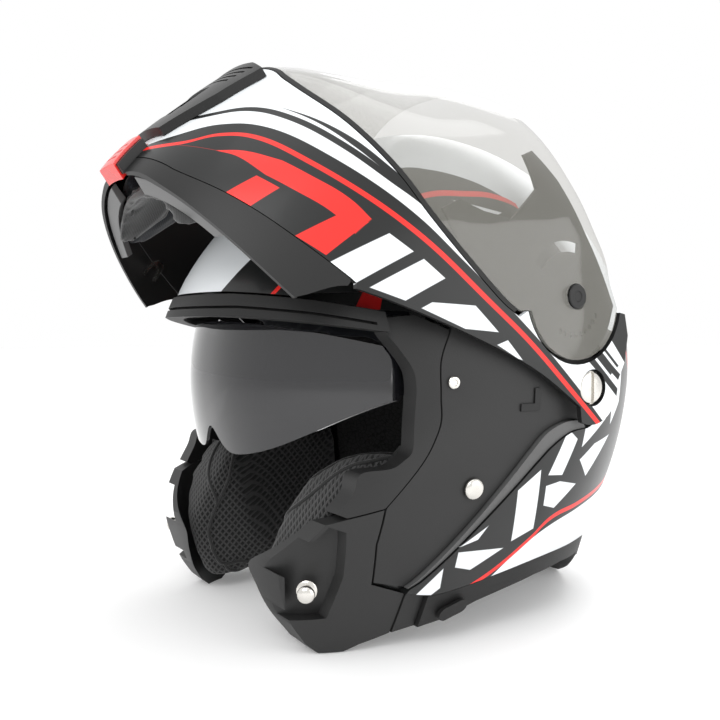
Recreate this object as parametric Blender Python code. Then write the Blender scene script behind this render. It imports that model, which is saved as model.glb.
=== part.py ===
"""Flip-up motorcycle helmet with its chin bar raised.

Helmet coordinates, in millimetres inside the functions: the wearer faces -Y, the wearer's left
is +X and +Z is up. Everything that rides on the chin bar is modelled with the bar closed and is
then lifted by its parent empty.
"""

import math

import bpy
import numpy as np
from mathutils import Matrix, Vector

MM = 0.001

# Driving dimensions of the helmet, in millimetres and degrees
BELT_Z = 149.4  # height of the widest section of the shell
MIDDLE_Y = 12.0  # where the front and back halves of each section meet
HALF_WIDTH = 129.5
FRONT_REACH = 156.0
BACK_REACH = 145.0
CROWN_RISE = 143.0
SHELL_WALL = 8.0
PANEL_STEP = 4.0  # the side panels lie this far below the painted shell
RECESS_DEPTH = 6.2
EPS_DEPTH = 38.0  # inner face of the energy liner, below the shell surface
PAD_DEPTH = 52.0  # inner face of the cheek pads
BAR_WALL = 3.0
VISOR_WALL = 2.2
GAP = 0.4
FLIP_ANGLE = 55.0  # how far the chin bar is raised
FLIP_PIVOT = (0.0, 42.0, 139.0)
VISOR_PIVOT = (0.0, -4.9, 156.8)
SUN_PIVOT = (0.0, 20.0, 140.0)
SUN_REACH = 144.0  # radius of the sun visor about its pivot, at the middle
SUN_HALF_SPAN = 112.0
SUN_WALL = 2.0
HOOK_PLACE = (87.5, -109.6, 42.0)  # middle of the latch hook, where the post's neck sits when shut
HOOK_TILT = 28.0  # how far its mouth leans back from straight down
FLOOR_Z = 6.0  # the cheek bottoms and the nape stand at this height
BOX_MIDDLE_Y = -10.85
FAR = 220.0

# Outlines in the side view, as (y, z)
SEAM = [(-43, 171), (-49, 155), (-49, 138), (-49, 126), (-53, 116), (-61, 104), (-79, 84)]
PORT_EDGE = [(-74, 176), (-73, 168), (-68, 160), (-62, 149), (-61, 136), (-63, 121), (-65, 111),
             (-69, 107),
             (-76, 103), (-90, 101), (-94, 92), (-101, 82)]
RIDGE = [(-61, 40), (-54, 44), (-41, 55), (-27, 68), (-15, 79), (-3, 90), (9, 101), (19, 109),
         (32, 115), (46, 116.3)]
JAW_FRONT = [(-106, 77), (-115, 64), (-120, 51), (-117, 37), (-112, 24), (-104, 12)]
TRIM_TOP = [(-60, 37.5), (-45, 34.5), (-27, 36), (-3, 40), (25, 45), (50, 47), (75, 47), (97, 40),
            (112, 26), (122, 18),
            (180, 16)]
BASE_LINE = [(-97, 6), (-85, 6), (-78, 9.5), (-62, 14), (-34, 18), (-14, 25), (26, 34), (50, 37),
             (75, 36), (96, 27),
             (108, 14), (117, 6), (180, 6)]
BROW_TOP = [(-170, 190), (-128, 188.8), (-104, 184.8), (-76, 178.8)]
BROW_BOTTOM = [(-74.8, 169), (-104, 173.5), (-128, 177), (-170, 178)]
BAR_TOP = [(-220, 124), (-184, 120), (-172, 113), (-160, 110), (-140, 110), (-109, 109), (-86, 107),
           (-60, 108), (-33, 112),
           (-19, 117)]
BAR_LOWER = [(-220, 14), (-178, 20), (-172, 26), (-158, 25), (-127, 26), (-94, 29), (-90, 32),
             (-82, 52), (-61, 67),
             (-24, 91), (12, 112), (51, 128)]
BAND_SEAM = [(-220, 36), (-172, 35), (-161, 35), (-144, 40), (-129, 44), (-112, 48), (-96, 52), (-84, 55)]
VISOR_TOP = [(8, 182), (-8, 189), (-25, 193), (-41, 198), (-57, 203), (-90, 217), (-112, 225),
             (-130, 229), (-220, 229)]


def smooth(t):
    t = np.clip(t, 0.0, 1.0)
    return t * t * (3.0 - 2.0 * t)


def flow(points, steps=3):
    """Smooth open line through the points (Catmull-Rom), steps pieces to each span."""
    p = np.array(points, float)
    p = np.vstack([2 * p[0] - p[1], p, 2 * p[-1] - p[-2]])
    line = []
    for a, b, c, d in zip(p[:-3], p[1:-2], p[2:-1], p[3:]):
        for t in np.arange(steps) / steps:
            line.append(0.5 * (2 * b + (c - a) * t + (2 * a - 5 * b + 4 * c - d) * t**2
                               + (3 * b - a - 3 * c + d) * t**3))
    return [tuple(q) for q in line] + [tuple(p[-2])]


def shifted(points, dy, dz):
    return [(y + dy, z + dz) for y, z in points]


def arc(centre, radius, start, end, steps=8):
    turns = np.radians(np.linspace(start, end, steps + 1))
    return [(centre[0] + radius * math.cos(a), centre[1] + radius * math.sin(a)) for a in turns]


def stations(z, heights, values):
    """Smooth curve through the values at the given heights."""
    line = np.array(flow(list(zip(heights, values)), 8))
    return np.interp(z, line[:, 0], line[:, 1])


def shell_section(z, off):
    """Half width, front and back reach and front exponent at height z, off outside the surface."""
    rise = np.clip((z - BELT_Z) / (CROWN_RISE + off), 0.0, 1.0)
    drop = np.clip(BELT_Z - z, 0.0, None)
    round_in = (1 - rise**1.95) ** (1 / 1.95)
    brow_in = (1 - rise**1.7) ** (1 / 1.7)
    nape_flare = 40 * np.clip((66 - z) / 60, 0.0, None) ** 1.6
    width = (HALF_WIDTH * (1 - (drop / 270) ** 2) + off) * round_in
    front = (FRONT_REACH * (1 - (drop / 420) ** 2) + off) * brow_in
    back = (BACK_REACH * (1 - (drop / 203) ** 2) + nape_flare + off) * round_in
    return width, front, back, 2.09 + 1.9 * smooth((136 - z) / 75)


def bar_section(z, off):
    """The same four values for the closed chin bar and visor, whose arms run straight back."""
    width = stations(z, (0, 26, 46, 72, 106, 140, 170, 200, 240),
                     (112, 119, 123.5, 128, 132, 132, 131, 127, 114))
    front = stations(z, (0, 16, 26, 46, 72, 106, 128, 166, 196, 231, 245),
                     (170, 181, 187, 191.5, 194, 196, 194, 167, 148, 124, 113))
    return width + off, front + off, 400.0 + 0 * z, 2.15 + 0 * z


def round_point(turn, section):
    """Points of a section: turn 0 is at the left side, 90 degrees at the front, 270 at the back."""
    width, front, back, power = section
    c, s = np.cos(turn), np.sin(turn)
    ahead = s > 0
    n = np.where(ahead, power, 2.09)
    x = width * np.sign(c) * np.abs(c) ** (2 / n)
    y = MIDDLE_Y - np.where(ahead, front, back) * np.sign(s) * np.abs(s) ** (2 / n)
    return x, y


def make_object(name, points, faces):
    mesh = bpy.data.meshes.new(name)
    mesh.from_pydata([tuple(float(c) * MM for c in p) for p in points], [], faces)
    mesh.update()
    obj = bpy.data.objects.new(name, mesh)
    bpy.context.collection.objects.link(obj)
    return obj


def shell_body(off, columns=40, low_rows=7, dome_rows=9, bottom=-12.0):
    """Closed solid inside the surface that lies off outside the shell."""
    crown = BELT_Z + CROWN_RISE + off
    low = np.linspace(bottom, BELT_Z, low_rows + 1)
    dome = BELT_Z + (CROWN_RISE + off) * np.sin(np.linspace(0, math.pi / 2, dome_rows + 1)[1:-1])
    heights = np.concatenate([low, dome])
    turns = np.linspace(0, 2 * math.pi, columns, endpoint=False)
    points = []
    for z in heights:
        x, y = round_point(turns, shell_section(z, off))
        points += list(zip(x, y, np.full(columns, z)))
    faces = []
    for row in range(len(heights) - 1):
        for i in range(columns):
            j = (i + 1) % columns
            faces.append((row * columns + j, row * columns + i, (row + 1) * columns + i,
                          (row + 1) * columns + j))
    top = len(points)
    points.append((0.0, MIDDLE_Y, crown))
    last = (len(heights) - 1) * columns
    faces += [(last + (i + 1) % columns, last + i, top) for i in range(columns)]
    faces.append(tuple(range(columns)))
    return make_object("helmet_body", points, faces)


def skin(front_points, back_points):
    """Closed solid between two grids of points with the same rows and columns."""
    rows, columns, _ = front_points.shape
    points = np.concatenate([front_points.reshape(-1, 3), back_points.reshape(-1, 3)])
    n = rows * columns
    faces = []
    for r in range(rows - 1):
        for c in range(columns - 1):
            a, b = r * columns + c, r * columns + c + 1
            faces.append((a, b, b + columns, a + columns))
            faces.append((n + a, n + a + columns, n + b + columns, n + b))
    rim = [(0, c) for c in range(columns)] + [(r, columns - 1) for r in range(1, rows)]
    rim += [(rows - 1, c) for c in range(columns - 2, -1, -1)] + [(r, 0) for r in range(rows - 2, 0, -1)]
    ring = [r * columns + c for r, c in rim]
    for a, b in zip(ring, ring[1:] + ring[:1]):
        faces.append((b, a, n + a, n + b))
    obj = make_object("skin", points, faces)
    return obj


def bar_wall(outer, inner, low=8.0, high=236.0, columns=34, rows=10):
    """Curved wall of the closed chin bar and visor between two offsets, from arm end to arm end."""
    turns = np.radians(np.linspace(-9, 189, columns + 1))
    heights = np.linspace(low, high, rows + 1)
    grids = []
    for off in (outer, inner):
        grid = np.empty((rows + 1, columns + 1, 3))
        for r, z in enumerate(heights):
            grid[r, :, 0], grid[r, :, 1] = round_point(turns, bar_section(z, off))
            grid[r, :, 2] = z
        grids.append(grid)
    return skin(grids[0][:, ::-1], grids[1][:, ::-1])


def prism(outline, low, high, axis="X"):
    """The outline pushed from low to high: (y, z) along X, (x, z) along Y, (x, y) along Z."""
    put = {"X": lambda a, b, t: (t, a, b),
           "Y": lambda a, b, t: (a, t, b),
           "Z": lambda a, b, t: (a, b, t)}[axis]
    count = len(outline)
    points = [put(a, b, low) for a, b in outline] + [put(a, b, high) for a, b in outline]
    area = sum(a[0] * b[1] - b[0] * a[1] for a, b in zip(outline, outline[1:] + outline[:1]))
    faces = [(i, (i + 1) % count, count + (i + 1) % count, count + i) for i in range(count)]
    faces += [tuple(range(count - 1, -1, -1)), tuple(range(count, 2 * count))]
    if (area < 0) != (axis == "Y"):
        faces = [tuple(reversed(face)) for face in faces]
    return make_object("prism", points, faces)


def turned(profile, place, direction, steps=20):
    """Solid turned about an axis through place: profile is (distance along the axis, radius)."""
    points, faces = [], []
    turns = np.linspace(0, 2 * math.pi, steps, endpoint=False)
    for along, radius in profile:
        points += [(radius * math.cos(a), radius * math.sin(a), along) for a in turns]
    for r in range(len(profile) - 1):
        for i in range(steps):
            j = (i + 1) % steps
            faces.append((r * steps + i, r * steps + j, (r + 1) * steps + j, (r + 1) * steps + i))
    faces.append(tuple(range(steps - 1, -1, -1)))
    faces.append(tuple(range((len(profile) - 1) * steps, len(profile) * steps)))
    obj = make_object("turned", points, faces)
    aim = Vector(direction).to_track_quat("Z", "Y").to_matrix().to_4x4()
    obj.data.transform(Matrix.Translation(Vector(place) * MM) @ aim)
    return obj


def combine(target, tool, operation):
    """Boolean of two solids, applied at once; the tool is used up."""
    modifier = target.modifiers.new(operation.title(), "BOOLEAN")
    modifier.operation = operation
    modifier.solver = "EXACT"
    modifier.object = tool
    bpy.context.view_layer.update()
    mesh = bpy.data.meshes.new_from_object(target.evaluated_get(bpy.context.evaluated_depsgraph_get()))
    target.modifiers.clear()
    target.data = mesh
    bpy.data.objects.remove(tool)
    return target


def wall(outer, inner, **detail):
    return combine(shell_body(outer, **detail), shell_body(inner, bottom=-30.0, **detail), "DIFFERENCE")


def side_piece(outline, outer, inner, low=30.0, **detail):
    """The part of the shell's wall, on the wearer's left, that lies inside a side-view outline."""
    return combine(wall(outer, inner, **detail), prism(outline, low, FAR), "INTERSECT")


def mirrored(obj):
    mesh = obj.data.copy()
    mesh.transform(Matrix.Scale(-1, 4, (1, 0, 0)))
    mesh.flip_normals()
    twin = bpy.data.objects.new("twin", mesh)
    bpy.context.collection.objects.link(twin)
    return twin


def finish_material(name, color, roughness, metallic=0.0, alpha=1.0):
    material = bpy.data.materials.get(name) or bpy.data.materials.new(name)
    material.use_nodes = True
    shader = material.node_tree.nodes["Principled BSDF"]
    shader.inputs["Base Color"].default_value = (*color, 1.0)
    shader.inputs["Roughness"].default_value = roughness
    shader.inputs["Metallic"].default_value = metallic
    shader.inputs["Alpha"].default_value = alpha
    material.diffuse_color = (*color, alpha)
    return material


def settle(obj, name, parent, finish):
    """Name a finished solid, give it its material and hang it on its body's empty."""
    obj.name = name
    obj.data.name = name
    obj.data.materials.clear()
    obj.data.materials.append(finish_material(*finish))
    obj.parent = parent
    obj.matrix_parent_inverse = Matrix.Translation(-Vector(parent["home"]))
    return obj


def pair(obj, name, parent, finish):
    settle(mirrored(obj), name + "_r", parent, finish)
    settle(obj, name + "_l", parent, finish)


def pivot_empty(name, place, parent=None, lift=0.0):
    """Empty on a joint's axis; what hangs on it was modelled around place before the empty is turned."""
    empty = bpy.data.objects.new(name, None)
    bpy.context.collection.objects.link(empty)
    home = Vector(place) * MM
    empty["home"] = tuple(home)
    base = Vector(parent["home"]) if parent else Vector()
    empty.parent = parent
    empty.location = home - base
    empty.rotation_euler.x = -math.radians(lift)
    return empty


WHITE = ("painted_white", (0.91, 0.93, 0.95), 0.22)
BLACK = ("matte_black", (0.030, 0.031, 0.031), 0.55)
GREY = ("satin_grey", (0.10, 0.10, 0.105), 0.45)
FOAM = ("black_foam", (0.02, 0.02, 0.021), 0.9)
FABRIC = ("mesh_fabric", (0.035, 0.036, 0.04), 0.95)
RUBBER = ("black_rubber", (0.02, 0.02, 0.02), 0.6)
STEEL = ("nickel_steel", (0.62, 0.60, 0.56), 0.25, 1.0)
RED = ("red_plastic", (0.85, 0.04, 0.03), 0.35)
SMOKE = ("light_smoke", (0.60, 0.59, 0.56), 0.05, 0.0, 0.45)
TINT = ("dark_tint", (0.06, 0.06, 0.065), 0.05, 0.0, 0.6)
WEBBING = ("webbing", (0.03, 0.03, 0.03), 0.8)


def make_shell(body):
    """Painted outer shell: open below and in front, with a step on each side for the panel and the arm."""
    shell = wall(0.0, -SHELL_WALL, columns=40, dome_rows=8)
    opening = [(-FAR, 191), (-150, 191), (-128, 190.2), (-104, 186.2), (-76, 180.2),
               (-56, 179)] + flow(SEAM)
    opening += [(-82, 66), (-80, 45), (-60, 37), (-60, -60), (-FAR, -60)]
    shell = combine(shell, prism(opening, -FAR, FAR), "DIFFERENCE")
    below = flow(TRIM_TOP, 2) + [(FAR, 16), (FAR, -60), (-70, -60), (-70, 37.5)]
    shell = combine(shell, prism(below, -FAR, FAR), "DIFFERENCE")
    recess = flow(RIDGE, 2) + arc(FLIP_PIVOT[1:], 23, -78, 50) + [(52, 182), (36, 190), (-43, 190)]
    recess += [(-110, 188), (-110, 30), (-64, 36)]
    for low, high in ((40, FAR), (-FAR, -40)):
        band = wall(20.0, -RECESS_DEPTH)
        shell = combine(shell, combine(band, prism(recess, low, high), "INTERSECT"), "DIFFERENCE")
    settle(shell, "outer_shell", body, WHITE)


def sun_radius(x, off=0.0):
    return (SUN_REACH + off) * (1 - (np.abs(x) / (SUN_HALF_SPAN + off)) ** 2.3) ** (1 / 2.3)


def sun_point(x, angle, off=0.0):
    radius = sun_radius(x, off)
    return x, SUN_PIVOT[1] - radius * math.cos(angle), SUN_PIVOT[2] + radius * math.sin(angle)


def make_energy_liner(body):
    """Foam liner, cut open at the face, the neck and where the sun visor swings up into it."""
    liner = wall(-10.4, -EPS_DEPTH, columns=28, low_rows=7, dome_rows=6)
    opening = [(-FAR, 180), (-76, 181), (-41, 180), (-40.5, 170), (-46.5, 150), (-46.5, 112),
               (14, 112), (14, 58), (60, 52), (FAR, 48),
               (FAR, -60), (-FAR, -60)]
    liner = combine(liner, prism(opening, -FAR, FAR), "DIFFERENCE")
    spread = np.linspace(-98, 98, 15)
    angles = np.radians(np.linspace(-32, 60, 9))
    near = np.array([[sun_point(x, a, -5.5) for x in spread] for a in angles])
    out = np.array([[(x, SUN_PIVOT[1] - FAR * math.cos(a), SUN_PIVOT[2] + FAR * math.sin(a))
                     for x in spread] for a in angles])
    liner = combine(liner, skin(out, near), "DIFFERENCE")
    for side in (1, -1):
        sector = [(34, 128), (34, 154), (20, 156)] + arc(SUN_PIVOT[1:], 100, 122, 190, 6) + [(-50, 128)]
        low, high = sorted((side * 91.5, side * 100.0))
        liner = combine(liner, prism(sector, low, high), "DIFFERENCE")
    settle(liner, "eps_liner", body, FOAM)


def make_pads(body):
    """Crown pad, cheek foams and cheek pads, and the neck roll behind."""
    above = [(-95, 186), (-60, 168), (110, 150), (FAR, 150), (FAR, 400), (-FAR, 400), (-FAR, 186)]
    crown = combine(wall(-EPS_DEPTH - 2, -46.5, columns=24, low_rows=4, dome_rows=5),
                    prism(above, -FAR, FAR), "INTERSECT")
    settle(crown, "crown_pad", body, FABRIC)
    foam = [(-56, 110.4), (12.5, 110.4), (12.5, 42), (-10, 34), (-40, 27), (-76, 16), (-94, 30),
            (-97, 50), (-86, 72),
            (-68, 96)]
    pair(side_piece(foam, -15.4, -28.0, columns=28, low_rows=5, dome_rows=4), "eps_cheek", body, FOAM)
    pad = [(-114, 58), (-117, 44), (-113, 26), (-104, 12), (-92, 8), (-60, 13), (-30, 19), (0, 29),
           (11, 36), (11, 100),
           (0, 108), (-60, 109), (-76, 106), (-92, 92), (-104, 76)]
    cheek = side_piece(pad, -15.4, -PAD_DEPTH, low=45, columns=28, low_rows=5, dome_rows=4)
    pocket = [(-59, 140), (30, 140), (30, 20), (-10, 20), (-41, 10), (-77, 6), (-97.5, 27),
              (-100.5, 51), (-89.5, 75.5), (-71.5, 101)]
    hollow = combine(wall(0, -28.9, columns=28, low_rows=5, dome_rows=4), prism(pocket, 20, FAR),
                     "INTERSECT")
    pair(combine(cheek, hollow, "DIFFERENCE"), "cheek_pad", body, FABRIC)
    roll = [(15, 36), (50, 38), (75, 37), (97, 28), (109, 15), (118, 8), (180, 8), (180, 40), (60, 49),
            (15, 55)]
    neck = combine(wall(-10.0, -34.0, columns=28, low_rows=5, dome_rows=4), prism(roll, -FAR, FAR),
                   "INTERSECT")
    settle(neck, "neck_roll", body, FABRIC)


def make_side_covers(body):
    """Frame of the eye port, side panel, jaw cover and the pieces between them, on both sides."""
    frame = flow(PORT_EDGE, 2)[::-1] + [(-60, 177.5), (-44, 170)]
    frame += shifted(flow(SEAM, 2), -GAP, 0)[1:] + [(-97, 80.2)]
    pair(side_piece(frame, -PANEL_STEP, -13.6), "eyeport_frame", body, BLACK)
    widths = np.interp(np.linspace(0, 1, len(flow(RIDGE, 2))), (0, 0.35, 0.8, 1), (1.0, 4.0, 9.0, 7.0))
    low_edge = [(y - 0.7 * GAP, z + 0.8 * GAP) for y, z in flow(RIDGE, 2)]
    high_edge = [(y - 0.7 * w, z + 0.7 * w) for (y, z), w in zip(flow(RIDGE, 2), widths)]
    pair(side_piece(low_edge + high_edge[::-1], -1.2, -RECESS_DEPTH + GAP), "ridge_trim", body, GREY)
    panel_edge = shifted(high_edge[1:], -0.4, 0.4)
    panel = panel_edge + arc(FLIP_PIVOT[1:], 22, -78, 60, 6) + [(20, 170), (-42.6, 173.5)]
    panel += shifted(flow(SEAM, 2), GAP, 0) + [(-81.4, 66), (-79.4, 45.4), (-63, 41.2)]
    plate = side_piece(panel, -PANEL_STEP, -RECESS_DEPTH + GAP)
    screw_hole = turned([(90, 9.6), (140, 9.6)], (0, FLIP_PIVOT[1], FLIP_PIVOT[2]), (1, 0, 0), 24)
    pair(combine(plate, screw_hole, "DIFFERENCE"), "side_panel", body, BLACK)
    clip = [(-4, 128), (9, 128), (9, 140), (5, 140), (5, 132), (-4, 132)]
    pair(side_piece(clip, -3.0, -PANEL_STEP + 0.3), "panel_clip", body, BLACK)
    jaw = [(-97, 79.4), (-79.8, 83.2), (-82.4, 66), (-80.4, 44.4), (-60.8, 36.8), (-62.6, 14)]
    jaw += BASE_LINE[2::-1] + flow(JAW_FRONT, 2)[::-1]
    cover = side_piece(jaw, -PANEL_STEP, -13.6, low=20)
    pocket = [(-104.5, 76), (-110, 69), (-122, 67), (-122, 51), (-118, 49), (-114, 25), (-98, 27),
              (-95, 50), (-97, 73)]
    dent = combine(wall(6.0, -10.4), prism(pocket, 40, FAR), "INTERSECT")
    pair(combine(cover, dent, "DIFFERENCE"), "jaw_cover", body, BLACK)
    joiner = [(-60.2, 36.4), (-48.6, 34.6), (-49.4, 16.2), (-62, 14.4)]
    pair(side_piece(joiner, -PANEL_STEP + 0.8, -SHELL_WALL - 3), "edge_joiner", body, BLACK)


def make_base_trim(body):
    """Edge trim that runs round the back from one edge joiner to the other."""
    top = [(y, z - GAP) for y, z in flow(TRIM_TOP, 2) if y > -47]
    low = [(y, z) for y, z in BASE_LINE if y > -47]
    outline = [(-48.2, 34.1)] + top + low[::-1] + [(-48.9, 16.0)]
    trim = combine(wall(-0.3, -SHELL_WALL, columns=40), prism(outline, -FAR, FAR), "INTERSECT")
    settle(trim, "base_trim", body, RUBBER)


def make_brow_seal(body):
    """Double-lipped rubber seal under the front edge of the shell."""
    seal = combine(wall(1.6, -9.0, columns=56, dome_rows=14), prism(BROW_TOP + BROW_BOTTOM, -FAR, FAR),
                   "INTERSECT")
    groove = [(y, z + 0.5) for y, z in zip((-170, -128, -104, -80), (183, 181.9, 178.2, 173.2))]
    groove += [(y, z - 0.7) for y, z in zip((-80, -104, -128, -170), (173.2, 178.2, 181.9, 183))]
    cut = combine(wall(5.0, -1.2, columns=56, dome_rows=14), prism(groove, -FAR, FAR), "INTERSECT")
    settle(combine(seal, cut, "DIFFERENCE"), "brow_seal", body, RUBBER)


def make_fixed_hardware(body):
    """Rivets, screws and latch posts of the shell."""
    dome = [(0, 5.6), (1.2, 5.6), (2.2, 4.2), (2.8, 1.8)]
    pair(turned(dome, (119.6, -31, 90), (1, -0.10, -0.13), 16), "strap_rivet", body, STEEL)
    pair(turned([(0, 3.2), (1.0, 3.2), (1.4, 1.5)], (118.3, -43, 144), (1, -0.16, 0), 16),
         "panel_screw", body, STEEL)
    post = [(0, 5.2), (1.2, 5.2), (1.8, 2.7), (5.0, 2.7), (5.6, 3.6), (7.6, 3.8), (8.8, 2.8), (9.2, 1.4)]
    pair(turned(post, (84.6, -107.7, 42), (0.84, -0.545, 0), 14), "latch_post", body, STEEL)
    head = turned([(0, 8.0), (5.0, 8.0), (5.0, 9.0), (6.6, 9.0), (7.4, 8.0)],
                  (124.0, FLIP_PIVOT[1], FLIP_PIVOT[2]), (1, 0, 0), 20)
    slot = prism([(40.9, 100), (43.1, 100), (43.1, 180), (40.9, 180)], 129.6, 140)
    pair(combine(head, slot, "DIFFERENCE"), "chin_pivot_screw", body, STEEL)


def make_strap(body, lever):
    """Two webbing straps from the cheeks that meet under the chin in a quick-release buckle."""
    left = [(52, 46), (50, 40), (42, 28), (34, 21.5), (18, 17.6), (18, 15.2), (34.8, 19), (44, 25.6),
            (52.4, 39), (54, 45)]
    strap = prism(left, -38, -16, "Y")
    settle(strap, "strap_l", body, WEBBING)
    right = [(-x, z) for x, z in left]
    settle(prism(right, -38, -16, "Y"), "strap_r", body, WEBBING)
    plate = [(-17.4, 14.4), (17.4, 14.4), (17.4, 17.4), (9, 18.2), (-9, 18.2), (-17.4, 17.4)]
    settle(prism(plate, -40, -14, "Y"), "buckle_body", body, BLACK)
    tongue = [(-6, 18.6), (12, 18.6), (13, 19.6), (12, 20.6), (-6, 20.6)]
    settle(prism(tongue, -34, -20, "Y"), "buckle_lever", lever, RED)


def make_sun_slider(knob):
    """Thumb slider on the left lower edge that works the sun visor."""
    pill = arc((-27, 25.5), 4.0, -80, 100, 5) + arc((-36, 22.5), 4.0, 100, 280, 5)
    settle(side_piece(pill, 3.4, 0.9, columns=28, low_rows=5, dome_rows=4), "sun_visor_slider", knob,
           RUBBER)


def arm_outline():
    """Round end of the chin bar's arm about its pivot, as the back of its side-view outline."""
    return arc(FLIP_PIVOT[1:], 20, -60, 62, 8)


def make_chin_bar(bar):
    """Painted chin bar with its arms, the black lower band, its lip, foam and breath guard."""
    rest = arc(VISOR_PIVOT[1:], 36, -112, 42, 12)
    whole = flow(BAR_LOWER[7:], 2)[:-1] + arm_outline() + [(46, 168), (36, 179), (25, 184)]
    upper = [(y, z + GAP) for y, z in flow(BAND_SEAM, 2)] + [(-80.6, 56)] + whole[1:]
    upper += rest[::-1] + flow(BAR_TOP, 2)[::-1]
    shell = combine(bar_wall(0.0, -BAR_WALL), prism(upper, -FAR, FAR), "INTERSECT")
    hole = turned([(-FAR, 10.0), (FAR, 10.0)], (0, FLIP_PIVOT[1], FLIP_PIVOT[2]), (1, 0, 0), 20)
    shell = combine(shell, hole, "DIFFERENCE")
    gap_for_button = prism([(-13.2, 10), (13.2, 10), (12.4, 46.4), (-12.4, 46.4)], -FAR, -100, "Y")
    settle(combine(shell, gap_for_button, "DIFFERENCE"), "chin_bar_shell", bar, WHITE)
    lower = flow(BAND_SEAM, 2) + [(-82.6, 54)] + flow(BAR_LOWER, 2)[:15][::-1]
    band = combine(bar_wall(-0.2, -2.8), prism(lower, -FAR, FAR), "INTERSECT")
    half = [(15, 0), (160, 0), (160, 70), (14, 70)]
    pair(combine(band, prism(half, -FAR, -20, "Y"), "INTERSECT"), "chin_lower_band", bar, BLACK)
    lip = [(-FAR, 19), (-178, 23), (-172, 27), (-158, 26.4), (-128, 27.2), (-128, 31.5), (-158, 31),
           (-178, 30), (-FAR, 30)]
    rim = combine(bar_wall(-BAR_WALL - 1.4, -14.0), prism(lip, -FAR, FAR), "INTERSECT")
    keep = [(19.5, 10), (90, 10), (90, 60), (19.5, 60)]
    pair(combine(rim, prism(keep, -FAR, -60, "Y"), "INTERSECT"), "chin_lip", bar, GREY)
    foam = [(-FAR, 34), (-130, 34), (-126, 44), (-124, 90), (-130, 98), (-FAR, 98)]
    pad = combine(bar_wall(-BAR_WALL - 1.4, -14.0), prism(foam, -FAR, FAR), "INTERSECT")
    pad = combine(pad, prism([(-17, 20), (17, 20), (17, 52), (-17, 52)], -FAR, -100, "Y"), "DIFFERENCE")
    settle(pad, "chin_foam", bar, FOAM)
    guard = [(-FAR, 30), (-150, 26), (-138, 20), (-132, 34), (-132, 60), (-140, 74), (-FAR, 76)]
    cloth = combine(bar_wall(-15.4, -19.5), prism(guard, -FAR, FAR), "INTERSECT")
    settle(cloth, "breath_guard", bar, FABRIC)


def make_chin_vent(bar, slider):
    """Ridged vent cover down the middle of the chin bar, and the slider that shuts it."""
    cover = [(-22, 52), (22, 52), (34, 84), (40, 112), (26, 117), (-26, 117), (-40, 112), (-34, 84)]
    plate = combine(bar_wall(5.0, 0.4), prism(cover, -FAR, -100, "Y"), "INTERSECT")
    window = [(-13, 66), (13, 66), (16, 92), (-16, 92)]
    plate = combine(plate, prism(window, -FAR, -100, "Y"), "DIFFERENCE")
    settle(plate, "chin_vent_cover", bar, BLACK)
    tab = [(-10, 70), (10, 70), (11, 78), (-11, 78)]
    settle(combine(bar_wall(4.0, 0.8), prism(tab, -FAR, -100, "Y"), "INTERSECT"), "chin_vent_slider",
           slider, BLACK)


def make_release(bar, button, hooks):
    """Release button at the chin tip and the hooks that it pulls off the latch posts."""
    pad = prism([(-12, 24), (12, 24), (11, 45), (-11, 45)], -FAR, -100, "Y")
    key = combine(bar_wall(6.0, -3.0), pad, "INTERSECT")
    settle(key, "release_button", button, RED)
    claw = [(-6.2, -5), (-3.9, -5)] + arc((0, 0), 3.9, 180, 0, 6) + [(3.9, -5), (6.2, -5)]
    claw += [(5.8, 5), (4, 8), (-1.5, 8), (-5, 4)]
    for side, hook in hooks.items():
        plate = prism(claw, -1.0, 1.0, "Z")
        upright = Matrix(((0.545, 0, 0.84, 0), (0.84, 0, -0.545, 0), (0, 1, 0, 0), (0, 0, 0, 1)))
        tilt = Matrix.Rotation(math.radians(HOOK_TILT), 4, "Z")
        place = Matrix.Translation(Vector(HOOK_PLACE) * MM) @ upright @ tilt
        plate.data.transform(place)
        if side < 0:
            twin = mirrored(plate)
            bpy.data.objects.remove(plate)
            plate = twin
        settle(plate, "latch_hook_" + ("l" if side > 0 else "r"), hook, STEEL)


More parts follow.
